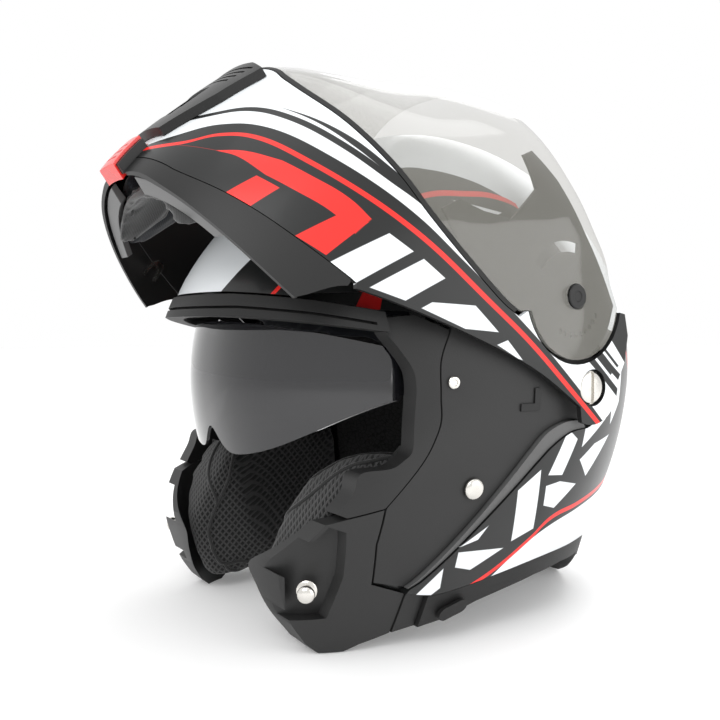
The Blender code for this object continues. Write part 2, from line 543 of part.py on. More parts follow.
def make_visor(visor, bar):
    """Clear visor with its finger tab, the rubber line under it and the plates that carry it."""
    end = arc(VISOR_PIVOT[1:], 33.5, -112, 45, 14)
    sheet = [(y, z + 3.4) for y, z in flow(BAR_TOP, 2) if y < -20] + end + flow(VISOR_TOP, 2)[1:]
    lens = combine(bar_wall(-0.2, -VISOR_WALL), prism(sheet, -FAR, FAR), "INTERSECT")
    bore = turned([(-FAR, 7.0), (FAR, 7.0)], VISOR_PIVOT, (1, 0, 0), 20)
    settle(combine(lens, bore, "DIFFERENCE"), "visor", visor, SMOKE)
    line = [(y, z + GAP) for y, z in flow(BAR_TOP, 2) if y < -22]
    line += [(y, z + 3.0) for y, z in flow(BAR_TOP, 2)[::-1] if y < -22]
    settle(combine(bar_wall(0.3, -BAR_WALL), prism(line, -FAR, FAR), "INTERSECT"), "visor_seal", bar,
           RUBBER)
    plate = arc(VISOR_PIVOT[1:], 33, -100, 30, 8) + [(18, 182), (-24, 189), (-55, 197), (-74, 199)]
    plate += [(-76, 190), (-60, 178), (-58, 150), (-70, 138), (-82, 130), (-84, 118), (-60, 112),
              (-33, 118)]
    carrier = combine(bar_wall(-BAR_WALL - 0.6, -5.1), prism(plate, 60, FAR), "INTERSECT")
    slot = arc(VISOR_PIVOT[1:], 30, 130, 200, 6) + arc(VISOR_PIVOT[1:], 24, 200, 130, 6)
    carrier = combine(carrier, prism(slot, 60, FAR), "DIFFERENCE")
    bore = turned([(90, 5.4), (FAR, 5.4)], VISOR_PIVOT, (1, 0, 0), 20)
    pair(combine(carrier, bore, "DIFFERENCE"), "visor_base_plate", bar, BLACK)
    boss = turned([(0, 4.9), (3.9, 4.9), (3.9, 6.4), (5.2, 6.4), (5.6, 5.6)],
                  (126.6, *VISOR_PIVOT[1:]), (1, 0, 0), 20)
    pair(boss, "visor_pivot_cap", bar, BLACK)


def make_sun_visor(sun, body):
    """Tinted inner visor: a band turned about the pivots, with an arm at each end."""
    spread = np.sin(np.radians(np.linspace(-59, 59, 21))) / math.sin(math.radians(59)) * 96
    rows = []
    for off in (0.0, -SUN_WALL):
        grid = []
        for t in np.linspace(0, 1, 5):
            low = -15.5 + 6 * np.exp(-((spread / 11) ** 2)) + 11.5 * (np.abs(spread) / 96) ** 3
            high = 14.0 + 0 * spread
            grid.append([sun_point(x, math.radians(a + (b - a) * t), off)
                         for x, a, b in zip(spread, low, high)])
        rows.append(np.array(grid))
    lens = skin(rows[0], rows[1])
    for side in (1, -1):
        arm = [(-62, 137), (-62, 160), (-40, 156), (12, 147)]
        arm += arc(SUN_PIVOT[1:], 9, 80, -80, 6) + [(12, 133)]
        low, high = sorted((side * 93.4, side * 95.6))
        lens = combine(lens, prism(arm, low, high), "UNION")
    hole = turned([(-FAR, 4.4), (FAR, 4.4)], SUN_PIVOT, (1, 0, 0), 16)
    settle(combine(lens, hole, "DIFFERENCE"), "sun_visor", sun, TINT)
    pair(turned([(0, 3.8), (6.6, 3.8)], (93.0, *SUN_PIVOT[1:]), (1, 0, 0), 16), "sun_visor_pin", body,
         STEEL)


def main():
    for old in list(bpy.data.objects):
        bpy.data.objects.remove(old)
    root = pivot_empty("helmet", (0, 0, 0))
    root.location = Vector((0, -BOX_MIDDLE_Y, -FLOOR_Z)) * MM
    bar = pivot_empty("chin_bar_axis", FLIP_PIVOT, root, FLIP_ANGLE)
    visor = pivot_empty("visor_axis", VISOR_PIVOT, bar)
    sun = pivot_empty("sun_visor_axis", SUN_PIVOT, root)
    slider = pivot_empty("chin_vent_slider_axis", (0, -182, 74), bar)
    button = pivot_empty("release_button_axis", (0, -180, 34), bar)
    hooks = {side: pivot_empty("latch_hook_axis", (side * HOOK_PLACE[0], *HOOK_PLACE[1:]), bar)
             for side in (1, -1)}
    lever = pivot_empty("buckle_lever_axis", (-6, -27, 19.6), root)
    knob = pivot_empty("sun_visor_slider_axis", (104, -31, 24), root)
    make_shell(root)
    make_energy_liner(root)
    make_pads(root)
    make_side_covers(root)
    make_base_trim(root)
    make_brow_seal(root)
    make_fixed_hardware(root)
    make_strap(root, lever)
    make_sun_slider(knob)
    make_chin_bar(bar)
    make_chin_vent(bar, slider)
    make_release(bar, button, hooks)
    make_visor(visor, bar)
    make_sun_visor(sun, root)


main()
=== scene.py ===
# %% [markdown]
# # A flip-up motorcycle helmet with its chin bar raised
# The working model of the helmet, with its joints, is loaded as a fixed frame. This lesson dresses it:
# most
# painted, moulded, sewn and clear pieces are built again at full quality in the same place, and get a
# material made
# of nodes; the cheek foams and latch hooks keep their plain shape with a new finish. It runs from top to
# bottom, one piece or one finish at a time.

# %% Load the frame
import math

import bpy
import numpy as np
from mathutils import Matrix, Vector
from mathutils.bvhtree import BVHTree


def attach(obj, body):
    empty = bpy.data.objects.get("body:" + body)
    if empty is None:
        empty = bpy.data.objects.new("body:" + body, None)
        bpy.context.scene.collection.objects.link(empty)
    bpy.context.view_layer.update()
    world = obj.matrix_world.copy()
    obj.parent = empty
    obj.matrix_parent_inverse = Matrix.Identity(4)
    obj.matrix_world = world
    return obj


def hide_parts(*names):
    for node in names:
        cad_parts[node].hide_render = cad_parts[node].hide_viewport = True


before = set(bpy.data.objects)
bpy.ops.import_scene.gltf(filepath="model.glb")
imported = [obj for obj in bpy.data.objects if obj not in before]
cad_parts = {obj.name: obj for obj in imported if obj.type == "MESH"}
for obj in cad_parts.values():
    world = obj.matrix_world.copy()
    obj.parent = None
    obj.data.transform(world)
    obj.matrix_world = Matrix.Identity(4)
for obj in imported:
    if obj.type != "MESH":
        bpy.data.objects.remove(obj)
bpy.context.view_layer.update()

# %% [markdown]
# ## Two sets of coordinates
# A maker draws a helmet in its own coordinates: millimetres, the wearer facing -Y, the wearer's left
# +X. The frame
# stands the helmet on the floor, so it is shifted a little. The chin bar is drawn closed, because that
# is how its
# parts line up with the shell, and a turn about its hinge raises it. Both moves go into the meshes, so
# that every
# object keeps a plain matrix, and the paint of the chin bar turns its coordinates back to the closed
# ones.

# %% The shift and the raised turn
MM = 0.001
FLIP_ANGLE = math.radians(55)
FLIP_PIVOT = (0.0, 42.0, 139.0)
FLOOR_Z = 6.0
SHIFT_Y = 10.85

to_frame = Matrix.Translation(Vector((0, SHIFT_Y, -FLOOR_Z)) * MM)
hinge = Matrix.Translation(Vector(FLIP_PIVOT) * MM)
raised = to_frame @ hinge @ Matrix.Rotation(-FLIP_ANGLE, 4, "X") @ hinge.inverted()
print("hinge in the frame, mm:", [round(1000 * c, 1) for c in raised @ (Vector(FLIP_PIVOT) * MM)])

# %% [markdown]
# ## The helmet's surface as a formula
# A helmet shell is close to an ellipsoid with flatter sides. Each horizontal section here is a
# superellipse, which
# has a half width, a reach ahead, a reach behind and an exponent. A formula beats a sculpted mesh,
# because every
# panel, pad and seal can then be an offset of one surface and fits its neighbours.

# %% Sections of the shell and of the closed chin bar
BELT_Z = 149.4  # height of the widest section
MIDDLE_Y = 12.0
HALF_WIDTH = 129.5
FRONT_REACH = 156.0
BACK_REACH = 145.0
CROWN_RISE = 143.0


def smooth(t):
    t = np.clip(t, 0.0, 1.0)
    return t * t * (3.0 - 2.0 * t)


def flow(points, steps=6):
    """Smooth open line through the points (Catmull-Rom), steps pieces to each span."""
    p = np.array(points, float)
    p = np.vstack([2 * p[0] - p[1], p, 2 * p[-1] - p[-2]])
    line = []
    for a, b, c, d in zip(p[:-3], p[1:-2], p[2:-1], p[3:]):
        for t in np.arange(steps) / steps:
            bend = (2 * a - 5 * b + 4 * c - d) * t**2
            line.append(0.5 * (2 * b + (c - a) * t + bend + (3 * b - a - 3 * c + d) * t**3))
    return [tuple(q) for q in line] + [tuple(p[-2])]


def stations(z, heights, values):
    """Smooth curve through the values at the given heights."""
    line = np.array(flow(list(zip(heights, values)), 8))
    return np.interp(z, line[:, 0], line[:, 1])


def shell_section(z, off):
    rise = np.clip((z - BELT_Z) / (CROWN_RISE + off), 0.0, 1.0)
    drop = np.clip(BELT_Z - z, 0.0, None)
    round_in = (1 - rise**1.95) ** (1 / 1.95)
    brow_in = (1 - rise**1.7) ** (1 / 1.7)
    nape_flare = 40 * np.clip((66 - z) / 60, 0.0, None) ** 1.6
    width = (HALF_WIDTH * (1 - (drop / 270) ** 2) + off) * round_in
    front = (FRONT_REACH * (1 - (drop / 420) ** 2) + off) * brow_in
    back = (BACK_REACH * (1 - (drop / 203) ** 2) + nape_flare + off) * round_in
    return width, front, back, 2.09 + 1.9 * smooth((136 - z) / 75)


BAR_HEIGHTS = (0, 26, 46, 72, 106, 140, 170, 200, 240)
BAR_WIDTHS = (112, 119, 123.5, 128, 132, 132, 131, 127, 114)
BAR_NOSE_HEIGHTS = (0, 16, 26, 46, 72, 106, 128, 166, 196, 231, 245)
BAR_NOSE = (170, 181, 187, 191.5, 194, 196, 194, 167, 148, 124, 113)


def bar_section(z, off):
    width = stations(z, BAR_HEIGHTS, BAR_WIDTHS)
    front = stations(z, BAR_NOSE_HEIGHTS, BAR_NOSE)
    return width + off, front + off, 400.0 + 0 * z, 2.15 + 0 * z


def round_point(turn, section):
    """Points of a section: turn 0 is at the left side, 90 degrees at the front, 270 at the back."""
    width, front, back, power = section
    c, s = np.cos(turn), np.sin(turn)
    n = np.where(s > 0, power, 2.09)
    x = width * np.sign(c) * np.abs(c) ** (2 / n)
    y = MIDDLE_Y - np.where(s > 0, front, back) * np.sign(s) * np.abs(s) ** (2 / n)
    return x, y


print("shell at the belt:", [round(float(v), 1) for v in shell_section(BELT_Z, 0.0)])

# %% [markdown]
# ## Solids from the formula
# Every hard piece is made the way a moulder would: a wall between two offsets of the surface is cut to
# an outline
# drawn in the side view. The wall is a fine grid, so it shades smoothly, and a narrow bevel on every
# cut edge
# catches the light as a moulded edge does.

# %% Mesh helpers
FAR = 220.0
AHEAD = (-FAR, -100, "Y")  # an outline seen from the front, through the nose of the chin bar
ACROSS = (1, 0, 0)
COLUMNS = 168  # points round each section
LOW_ROWS = 40
DOME_ROWS = 26


def new_piece(name, points, faces):
    mesh = bpy.data.meshes.new(name)
    mesh.from_pydata([tuple(float(c) * MM for c in p) for p in points], [], faces)
    mesh.update()
    obj = bpy.data.objects.new(name, mesh)
    bpy.context.collection.objects.link(obj)
    return obj


def section_rows(off, bottom=-12.0):
    """Rows of points up the shell at this offset, without the crown's point."""
    low = np.linspace(bottom, BELT_Z, LOW_ROWS + 1)
    climb = np.sin(np.linspace(0, math.pi / 2, DOME_ROWS + 1)[1:-1])
    heights = np.concatenate([low, BELT_Z + (CROWN_RISE + off) * climb])
    turns = np.linspace(0, 2 * math.pi, COLUMNS, endpoint=False)
    grid = np.empty((len(heights), COLUMNS, 3))
    for row, z in enumerate(heights):
        grid[row, :, 0], grid[row, :, 1] = round_point(turns, shell_section(z, off))
        grid[row, :, 2] = z
    return grid


def shell_wall(outer, inner):
    """Wall of the shell between two offsets, open below."""
    points, faces = [], []
    for off, facing_out in ((outer, True), (inner, False)):
        grid = section_rows(off)
        first = len(points)
        points += [tuple(p) for p in grid.reshape(-1, 3)] + [(0.0, MIDDLE_Y, BELT_Z + CROWN_RISE + off)]
        top = first + grid.shape[0] * COLUMNS
        for row in range(grid.shape[0] - 1):
            for i in range(COLUMNS):
                a = first + row * COLUMNS + i
                b = first + row * COLUMNS + (i + 1) % COLUMNS
                quad = (b, a, a + COLUMNS, b + COLUMNS)
                faces.append(quad if facing_out else quad[::-1])
        last = top - COLUMNS
        for i in range(COLUMNS):
            cap = (last + (i + 1) % COLUMNS, last + i, top)
            faces.append(cap if facing_out else cap[::-1])
    inside = len(points) // 2
    for i in range(COLUMNS):
        j = (i + 1) % COLUMNS
        faces.append((i, j, inside + j, inside + i))
    return new_piece("shell_wall", points, faces)


def skin(outside, inside):
    """Closed solid between two grids of points with the same rows and columns."""
    rows, columns, _ = outside.shape
    points = np.concatenate([outside.reshape(-1, 3), inside.reshape(-1, 3)])
    n = rows * columns
    faces = []
    for r in range(rows - 1):
        for c in range(columns - 1):
            a, b = r * columns + c, r * columns + c + 1
            faces.append((a, b, b + columns, a + columns))
            faces.append((n + a, n + a + columns, n + b + columns, n + b))
    rim = [(0, c) for c in range(columns)] + [(r, columns - 1) for r in range(1, rows)]
    rim += [(rows - 1, c) for c in range(columns - 2, -1, -1)] + [(r, 0) for r in range(rows - 2, 0, -1)]
    ring = [r * columns + c for r, c in rim]
    for a, b in zip(ring, ring[1:] + ring[:1]):
        faces.append((b, a, n + a, n + b))
    return new_piece("skin", points, faces)


def bar_wall(outer, inner, low=8.0, high=236.0, columns=150, rows=64):
    """Wall of the closed chin bar and visor between two offsets."""
    turns = np.radians(np.linspace(-9, 189, columns + 1))
    grids = []
    for off in (outer, inner):
        grid = np.empty((rows + 1, columns + 1, 3))
        for row, z in enumerate(np.linspace(low, high, rows + 1)):
            grid[row, :, 0], grid[row, :, 1] = round_point(turns, bar_section(z, off))
            grid[row, :, 2] = z
        grids.append(grid[:, ::-1])
    return skin(*grids)


def prism(outline, low, high, axis="X"):
    """The outline pushed from low to high: (y, z) outlines along X, (x, z) along Y, (x, y) along Z."""
    place = {"X": lambda a, b, t: (t, a, b), "Y": lambda a, b, t: (a, t, b), "Z": lambda a, b,
             t: (a, b, t)}[axis]
    count = len(outline)
    points = [place(a, b, low) for a, b in outline] + [place(a, b, high) for a, b in outline]
    area = sum(a[0] * b[1] - b[0] * a[1] for a, b in zip(outline, outline[1:] + outline[:1]))
    faces = [(i, (i + 1) % count, count + (i + 1) % count, count + i) for i in range(count)]
    faces += [tuple(range(count - 1, -1, -1)), tuple(range(count, 2 * count))]
    if (area < 0) != (axis == "Y"):
        faces = [tuple(reversed(face)) for face in faces]
    return new_piece("prism", points, faces)


def arc(centre, radius, start, end, steps=20):
    turns = np.radians(np.linspace(start, end, steps + 1))
    return [(centre[0] + radius * math.cos(a), centre[1] + radius * math.sin(a)) for a in turns]


def turned(profile, place, direction, steps=48):
    """Solid turned about an axis through place: profile is (distance along the axis, radius)."""
    points, faces = [], []
    turns = np.linspace(0, 2 * math.pi, steps, endpoint=False)
    for along, radius in profile:
        points += [(radius * math.cos(a), radius * math.sin(a), along) for a in turns]
    for r in range(len(profile) - 1):
        for i in range(steps):
            j = (i + 1) % steps
            faces.append((r * steps + i, r * steps + j, (r + 1) * steps + j, (r + 1) * steps + i))
    faces.append(tuple(range(steps - 1, -1, -1)))
    faces.append(tuple(range((len(profile) - 1) * steps, len(profile) * steps)))
    obj = new_piece("turned", points, faces)
    aim = Vector(direction).to_track_quat("Z", "Y").to_matrix().to_4x4()
    obj.data.transform(Matrix.Translation(Vector(place) * MM) @ aim)
    return obj


def combine(target, tool, operation):
    """Exact Boolean, applied at once; the tool is used up."""
    modifier = target.modifiers.new(operation, "BOOLEAN")
    modifier.operation = operation
    modifier.solver = "EXACT"
    modifier.object = tool
    graph = bpy.context.evaluated_depsgraph_get()
    graph.update()
    mesh = bpy.data.meshes.new_from_object(target.evaluated_get(graph))
    target.modifiers.clear()
    target.data = mesh
    bpy.data.objects.remove(tool)
    return target


def cut(wall, outline, low=-FAR, high=FAR, axis="X"):
    return combine(wall, prism(outline, low, high, axis), "INTERSECT")


def pierce(piece, outline, low=-FAR, high=FAR, axis="X"):
    return combine(piece, prism(outline, low, high, axis), "DIFFERENCE")


def mirrored(obj):
    mesh = obj.data.copy()
    mesh.transform(Matrix.Scale(-1, 4, ACROSS))
    mesh.flip_normals()
    twin = bpy.data.objects.new("twin", mesh)
    bpy.context.collection.objects.link(twin)
    return twin


def shifted(points, dy, dz):
    return [(y + dy, z + dz) for y, z in points]


print("grid of a shell wall:", COLUMNS, "by", LOW_ROWS + DOME_ROWS)

# %% [markdown]
# ## Finishes as expressions
# A finish is a Principled shader whose inputs come from small formulas. The class below wraps one
# output socket, so
# that a formula reads as Python, and each operator adds its Math node. Colours are mixed by Mix nodes
# instead.

# %% A socket that can be added, multiplied and compared
class Signal:
    """One number over a surface, as the output of a node."""

    def __init__(self, recipe, socket):
        self.recipe = recipe
        self.socket = socket

    def __add__(self, other):
        return self.recipe.math("ADD", self, other)

    def __sub__(self, other):
        return self.recipe.math("SUBTRACT", self, other)

    def __mul__(self, other):
        return self.recipe.math("MULTIPLY", self, other)

    def __truediv__(self, other):
        return self.recipe.math("DIVIDE", self, other)

    def __rsub__(self, other):
        return self.recipe.math("SUBTRACT", other, self)

    def __rtruediv__(self, other):
        return self.recipe.math("DIVIDE", other, self)

    __radd__ = __add__
    __rmul__ = __mul__

    def __abs__(self):
        return self.recipe.math("ABSOLUTE", self)

    def __and__(self, other):
        return self.recipe.math("MINIMUM", self, other)

    def __or__(self, other):
        return self.recipe.math("MAXIMUM", self, other)


class Recipe:
    """One material: its constants are set on the shader, and its formulas are linked to it."""

    def __init__(self, name, **constants):
        self.material = bpy.data.materials.new(name)
        self.material.use_nodes = True
        self.tree = self.material.node_tree
        self.shader = self.tree.nodes["Principled BSDF"]
        for key, value in constants.items():
            self.shader.inputs[key.replace("_", " ")].default_value = value

    def node(self, kind, settings=(), sockets=(), out=0):
        """A node of this kind: settings first, then a value or a link for each named socket."""
        made = self.tree.nodes.new("ShaderNode" + kind)
        for key, value in dict(settings).items():
            if key == "stops":
                while len(made.color_ramp.elements) < len(value):
                    made.color_ramp.elements.new(0.5)
                for element, (place, color) in zip(made.color_ramp.elements, value):
                    element.position = place
                    element.color = color
            elif key == "points":
                curve = made.mapping.curves[0]
                while len(curve.points) < len(value):
                    curve.points.new(0.5, 0.5)
                for point, place in zip(curve.points, value):
                    point.location = place
                made.mapping.update()
            else:
                setattr(made, key, value)
        for key, value in dict(sockets).items():
            self.feed(made.inputs[key], value)
        return Signal(self, made.outputs[out])

    def feed(self, socket, value):
        if isinstance(value, Signal):
            self.tree.links.new(value.socket, socket)
        else:
            socket.default_value = value

    def math(self, operation, *values, clamp=False):
        sockets = dict(enumerate(values))
        return self.node("Math", {"operation": operation, "use_clamp": clamp}, sockets)

    def mix(self, share, low, high):
        """Colour low where share is 0, and high where it is 1."""
        return self.node("Mix", {"data_type": "RGBA"}, {0: share, 6: low, 7: high}, out=2)

    def place(self, closed_bar=False):
        """Position on the piece in millimetres, in the coordinates it was drawn in."""
        shift = (0.0, SHIFT_Y * MM, -FLOOR_Z * MM)
        spot = self.node("VectorMath", {"operation": "SUBTRACT"},
                         {0: self.node("TexCoord", out=3), 1: shift})
        if closed_bar:
            turn = {"Vector": spot, "Center": Vector(FLIP_PIVOT) * MM, "Angle": FLIP_ANGLE}
            spot = self.node("VectorRotate", {"rotation_type": "X_AXIS"}, turn)
        return [self.node("SeparateXYZ", (), {0: spot}, out=i) * 1000.0 for i in range(3)]

    def inside(self, distance, edge=0.35):
        """1 where the distance is above 0, with an edge this many millimetres wide."""
        return self.math("ADD", distance / edge, 0.5, clamp=True)

    def noise(self, scale, detail=2.0, roughness=0.5):
        spot = self.node("TexCoord", out=3)
        sockets = {"Vector": spot, "Scale": scale, "Detail": detail, "Roughness": roughness}
        return self.node("TexNoise", (), sockets)

    def bump(self, height, strength, depth):
        """Raised relief: depth is in metres, and height runs from 0 to 1."""
        relief = self.node("Bump", (), {"Height": height, "Strength": strength, "Distance": depth})
        self.feed(self.shader.inputs["Normal"], relief)
        return relief

    def give(self, **formulas):
        for key, value in formulas.items():
            self.feed(self.shader.inputs[key.replace("_", " ")], value)
        return self.material


def gray(level, alpha=1.0):
    return (level, level, level, alpha)


print("a finish is made by Recipe(name, constants)")

# %% [markdown]
# ## Painted stripes
# The shell and the chin bar carry a sport pattern: white over black, with red lines that follow the
# shape. Real
# helmets get water-slide prints under a satin clear coat. Here the pattern is drawn by formulas on two
# coordinates, the angle round the helmet (0 at the side, 90 at the front) and the height. A Float Curve
# node holds
# each line of the pattern, so a stripe is simply a small distance from its line.

# %% Where a point lies on the helmet, and distance from a line of the pattern
ANGLE_SPAN = 180.0
HEIGHT_SPAN = 320.0
MM_PER_DEGREE = 2.2  # round the shell at the height of the pattern
FINE_EDGE = 0.3
WHITE = (0.83, 0.86, 0.88, 1.0)
BLACK = (0.0085, 0.0090, 0.0090, 1.0)
RED = (0.90, 0.022, 0.016, 1.0)
DEEP_RED = (0.35, 0.008, 0.008, 1.0)


def wrap_angle(recipe, x, y):
    """Degrees round the helmet, the same on both sides: 90 in front, 0 at the ears and -90 behind."""
    return recipe.math("ARCTAN2", MIDDLE_Y - y, abs(x)) * (180 / math.pi)


def line_height(recipe, angle, places):
    """Height of a pattern line that passes through (angle, height) places."""
    share = (angle + ANGLE_SPAN / 2) / ANGLE_SPAN
    ends = sorted(((a + ANGLE_SPAN / 2) / ANGLE_SPAN, h / HEIGHT_SPAN) for a, h in places)
    height = recipe.node("FloatCurve", {"points": ends}, {"Value": share})
    return height * HEIGHT_SPAN


def stripe(recipe, distance, half_width):
    return recipe.inside(half_width - abs(distance))


def patch(recipe, angle, height, corners):
    """Block with straight sides between (angle, height) corners, given in order round it."""
    area = sum(a[0] * b[1] - b[0] * a[1] for a, b in zip(corners, corners[1:] + corners[:1]))
    mask = 1.0
    for start, end in zip(corners, corners[1:] + corners[:1]):
        across, up = (end[0] - start[0]) * MM_PER_DEGREE, end[1] - start[1]
        length = math.copysign(math.hypot(across, up), area)
        slope, rise = across / length, up * MM_PER_DEGREE / length
        side = recipe.inside(height * slope - angle * rise + (rise * start[0] - slope * start[1]))
        mask = side & mask
    return mask


def satin_coat(recipe, color, roughness=0.32):
    """Clear coat over the print, with the faint waviness of sprayed lacquer and slight dulling."""
    dulling = recipe.noise(45.0, 3.0)
    recipe.bump(recipe.noise(900.0, 1.0), 0.12, 0.00005)
    return recipe.give(Base_Color=color, Roughness=dulling * 0.10 + (roughness - 0.05))


print("pattern lines use", ANGLE_SPAN, "degrees by", HEIGHT_SPAN, "mm")

# %% Paint of the chin bar
BAR_BLOCKS = (
    [(45.1, 51.6), (42.0, 84.3), (37.0, 88.2), (39.6, 55.9)],
    [(37.4, 59.7), (34.8, 90.1), (29.6, 93.2), (31.4, 69.9)],
    [(28.3, 74.3), (27.8, 80.4), (21.6, 98.5), (14.1, 101.7), (19.4, 87.2)],
    [(12.1, 97.5), (11.3, 103.9), (5.5, 105.8), (6.5, 103.9)],
)
BAR_RED_BLOCKS = (
    [(64.3, 39.5), (62.8, 56.5), (58.9, 59.5), (60.0, 42.2)],
    [(51.8, 48.4), (49.6, 72.0), (45.6, 80.0), (46.3, 53.2)],
)


def chin_bar_paint():
    recipe = Recipe("chin_bar_paint", Coat_Weight=0.15, Coat_Roughness=0.15, Specular_IOR_Level=0.35)
    x, y, z = recipe.place(closed_bar=True)
    angle = wrap_angle(recipe, x, y)
    top = line_height(recipe, angle, ((-30, 131), (-9, 126), (8, 119), (22, 112), (38, 107.5),
                                      (58, 109.5), (90, 112)))
    band_low = line_height(recipe, angle,
                           ((-30, 140), (4, 122), (14, 116), (30, 107), (41, 101.9), (56.6, 90.5),
                                           (69.3, 79.5), (74.8, 69.5), (82.7, 49.5), (90, 42)))
    band_gap = line_height(recipe, angle,
                           ((-30, 160), (10, 134), (30, 117), (43.4, 108.4), (48.2, 104.6), (56.8, 99.4),
                                           (66.9, 92.7), (72.6, 86.8), (81, 69.8), (90, 60)))
    fine_gap = line_height(recipe, angle,
                           ((-30, 170), (30, 122), (43.6, 110), (48.7, 107.2), (57, 104), (63, 100.5),
                                           (69, 95.5), (90, 80)))
    red_line = line_height(recipe, angle,
                           ((-30, 138), (-10.2, 125.4), (7.7, 114.9), (20.8, 106.2), (38.8, 96),
                                           (58.4, 80.4), (68.8, 71.7), (72.9, 63.8), (78.6, 47.9),
                                           (89, 39.8)))
    white = recipe.inside(z - band_low) & recipe.inside(top + 40 - z)
    white = white & (1 - stripe(recipe, z - band_gap, 1.9))
    taper = recipe.math("MULTIPLY", 70.0 - angle, 0.075, clamp=True) * 1.9
    white = white & (1 - stripe(recipe, z - fine_gap, taper))
    for corners in BAR_BLOCKS:
        white = white | patch(recipe, angle, z, corners)
    for line in range(4):
        lean = angle * -0.6 + (143.1 + 3.4 * line)
        thin = stripe(recipe, z - lean, 0.9) & recipe.inside(-1.0 - angle,
                                                             FINE_EDGE) & recipe.inside(angle + 14.0,
                                                                                        FINE_EDGE)
        white = white & (1 - thin)
    sweep = line_height(recipe, angle, ((-30, 110), (40, 78), (45.5, 76.5), (50, 75.5), (57.7, 69),
                                        (63, 64.5), (67.5, 60.5),
                                        (71.5, 54), (90, 40)))
    growing = recipe.math("MULTIPLY", 71.0 - angle, 0.11, clamp=True) * 5.6
    swoosh = stripe(recipe, z - sweep, growing) & recipe.inside(angle - 45.7, FINE_EDGE)
    red = stripe(recipe, z - red_line, 1.35) | swoosh
    for corners in BAR_RED_BLOCKS:
        red = red | patch(recipe, angle, z, corners)
    color = recipe.mix(white, BLACK, WHITE)
    color = recipe.mix(red, color, RED)
    return satin_coat(recipe, color, 0.36)


CHIN_BAR_PAINT = chin_bar_paint()
print("painted:", CHIN_BAR_PAINT.name)

# %% Blocks of the pattern on the shell
SHELL_BLOCKS = (
    [(-7.6, 117.0), (-11.6, 111.0), (-7.6, 92.0), (-2.4, 93.0)],
    [(-7.2, 88.5), (-14.4, 85.3), (-7.0, 73.6), (-2.7, 76.1), (-2.3, 87.0)],
    [(0.4, 96.5), (-0.8, 63.5), (6.3, 58.2), (7.1, 86.7)],
    [(15.0, 69.3), (17.6, 62.5), (22.6, 60.0)],
    [(22.8, 57.0), (8.7, 55.0), (18.6, 45.6), (23.3, 48.7)],
    [(26.5, 49.2), (26.9, 38.0), (29.2, 34.8), (33.0, 36.5)],
    [(-34.0, 157.0), (-33.0, 128.0), (-28.0, 116.0), (-27.0, 141.0)],
    [(-28.4, 110.0), (-18.6, 88.6), (-14.0, 99.0), (-20.0, 106.7)],
    [(-25.0, 140.0), (-24.4, 120.0), (-14.0, 106.0), (-15.0, 127.0)],
    [(-44.0, 118.0), (-52.0, 140.0), (-60.0, 136.0), (-50.0, 112.0)],
    [(-62.0, 128.0), (-70.0, 150.0), (-78.0, 148.0), (-70.0, 124.0)],
)
CROWN_LINE = ((-90, 184), (-60, 174), (-36, 168), (-22, 174), (-16, 196), (-9, 222), (-1.7, 237),
              (6.5, 247), (15.6, 253),
              (27, 257), (36, 258), (50, 251), (60, 237), (72, 208), (77.6, 190), (84, 168), (90, 150))
FRONT_RED_LINE = ((-90, 180), (-8, 226), (-2, 237.5), (5, 242), (17.7, 242.5), (28.6, 241), (40, 232),
                  (52, 214), (61, 195),
                  (75, 150), (90, 130))
REAR_RED_LINE = ((-90, 118), (-60, 128), (-45, 148), (-35.7, 160.6), (-22.2, 145.7), (-10, 128), (90, 60))
LOW_RED_LINE = ((-90, 96), (-60, 88), (-32, 78), (-17.3, 72.4), (-6.7, 67.7), (-0.4, 57.6),
                (9.9, 43.3), (20, 33.1),
                (30, 22), (90, 0))
LOW_WHITE_LINE = ((-90, 88), (-60, 82), (-32, 74.5), (-18.2, 69.4), (-5, 61.6), (3.5, 50.7),
                  (13.6, 34.9), (30, 16), (90, 0))
# Upper edge of the flare at the nape; the paint below this line carries painted shade.
LIP_LINE = ((-90, 66), (-50, 66), (-30, 65), (-14.8, 59.7), (-5.7, 53.3), (4.5, 38.7), (20, 20), (90, 0))
print("blocks on each side of the shell:", len(SHELL_BLOCKS))


# %% Paint of the shell
def shell_paint():
    recipe = Recipe("shell_paint", Coat_Weight=0.2, Coat_Roughness=0.12, Specular_IOR_Level=0.35)
    x, y, z = recipe.place()
    angle = wrap_angle(recipe, x, y)
    white = recipe.inside(z - line_height(recipe, angle, CROWN_LINE))
    white = white | patch(recipe, angle, z, [(21.4, 238.3), (5.7, 232.7), (10.7, 228.8)])
    for corners in SHELL_BLOCKS:
        white = white | patch(recipe, angle, z, corners)
    low_white = recipe.inside(line_height(recipe, angle, LOW_WHITE_LINE) - z)
    white = white | low_white
    front_red = z - line_height(recipe, angle, FRONT_RED_LINE)
    red = stripe(recipe, front_red, 1.7) & recipe.inside(angle + 2.0, FINE_EDGE)
    rear_red = z - line_height(recipe, angle, REAR_RED_LINE)
    red = red | (stripe(recipe, rear_red, 1.4) & recipe.inside(-21.5 - angle, FINE_EDGE))
    low_red = z - line_height(recipe, angle, LOW_RED_LINE)
    red = red | stripe(recipe, low_red, 1.3)
    color = recipe.mix(white, BLACK, WHITE)
    color = recipe.mix(red, color, RED)
    deep = patch(recipe, angle, z, [(44.9, 189.4), (40.6, 187.4), (41.2, 178.0), (46.4, 181.0)])
    color = recipe.mix(deep, color, DEEP_RED)
    # Painted shade: below the lip of the nape flare the paint is mixed towards grey, more the further below
    # the lip's line, for the shade under the flare.
    under_lip = line_height(recipe, angle, LIP_LINE) - z
    painted_lip_shade = recipe.math("MULTIPLY", under_lip, 0.04, clamp=True) * 0.55
    color = recipe.mix(painted_lip_shade, color, gray(0.36))
    return satin_coat(recipe, color, 0.30)


SHELL_PAINT = shell_paint()
print("painted:", SHELL_PAINT.name)

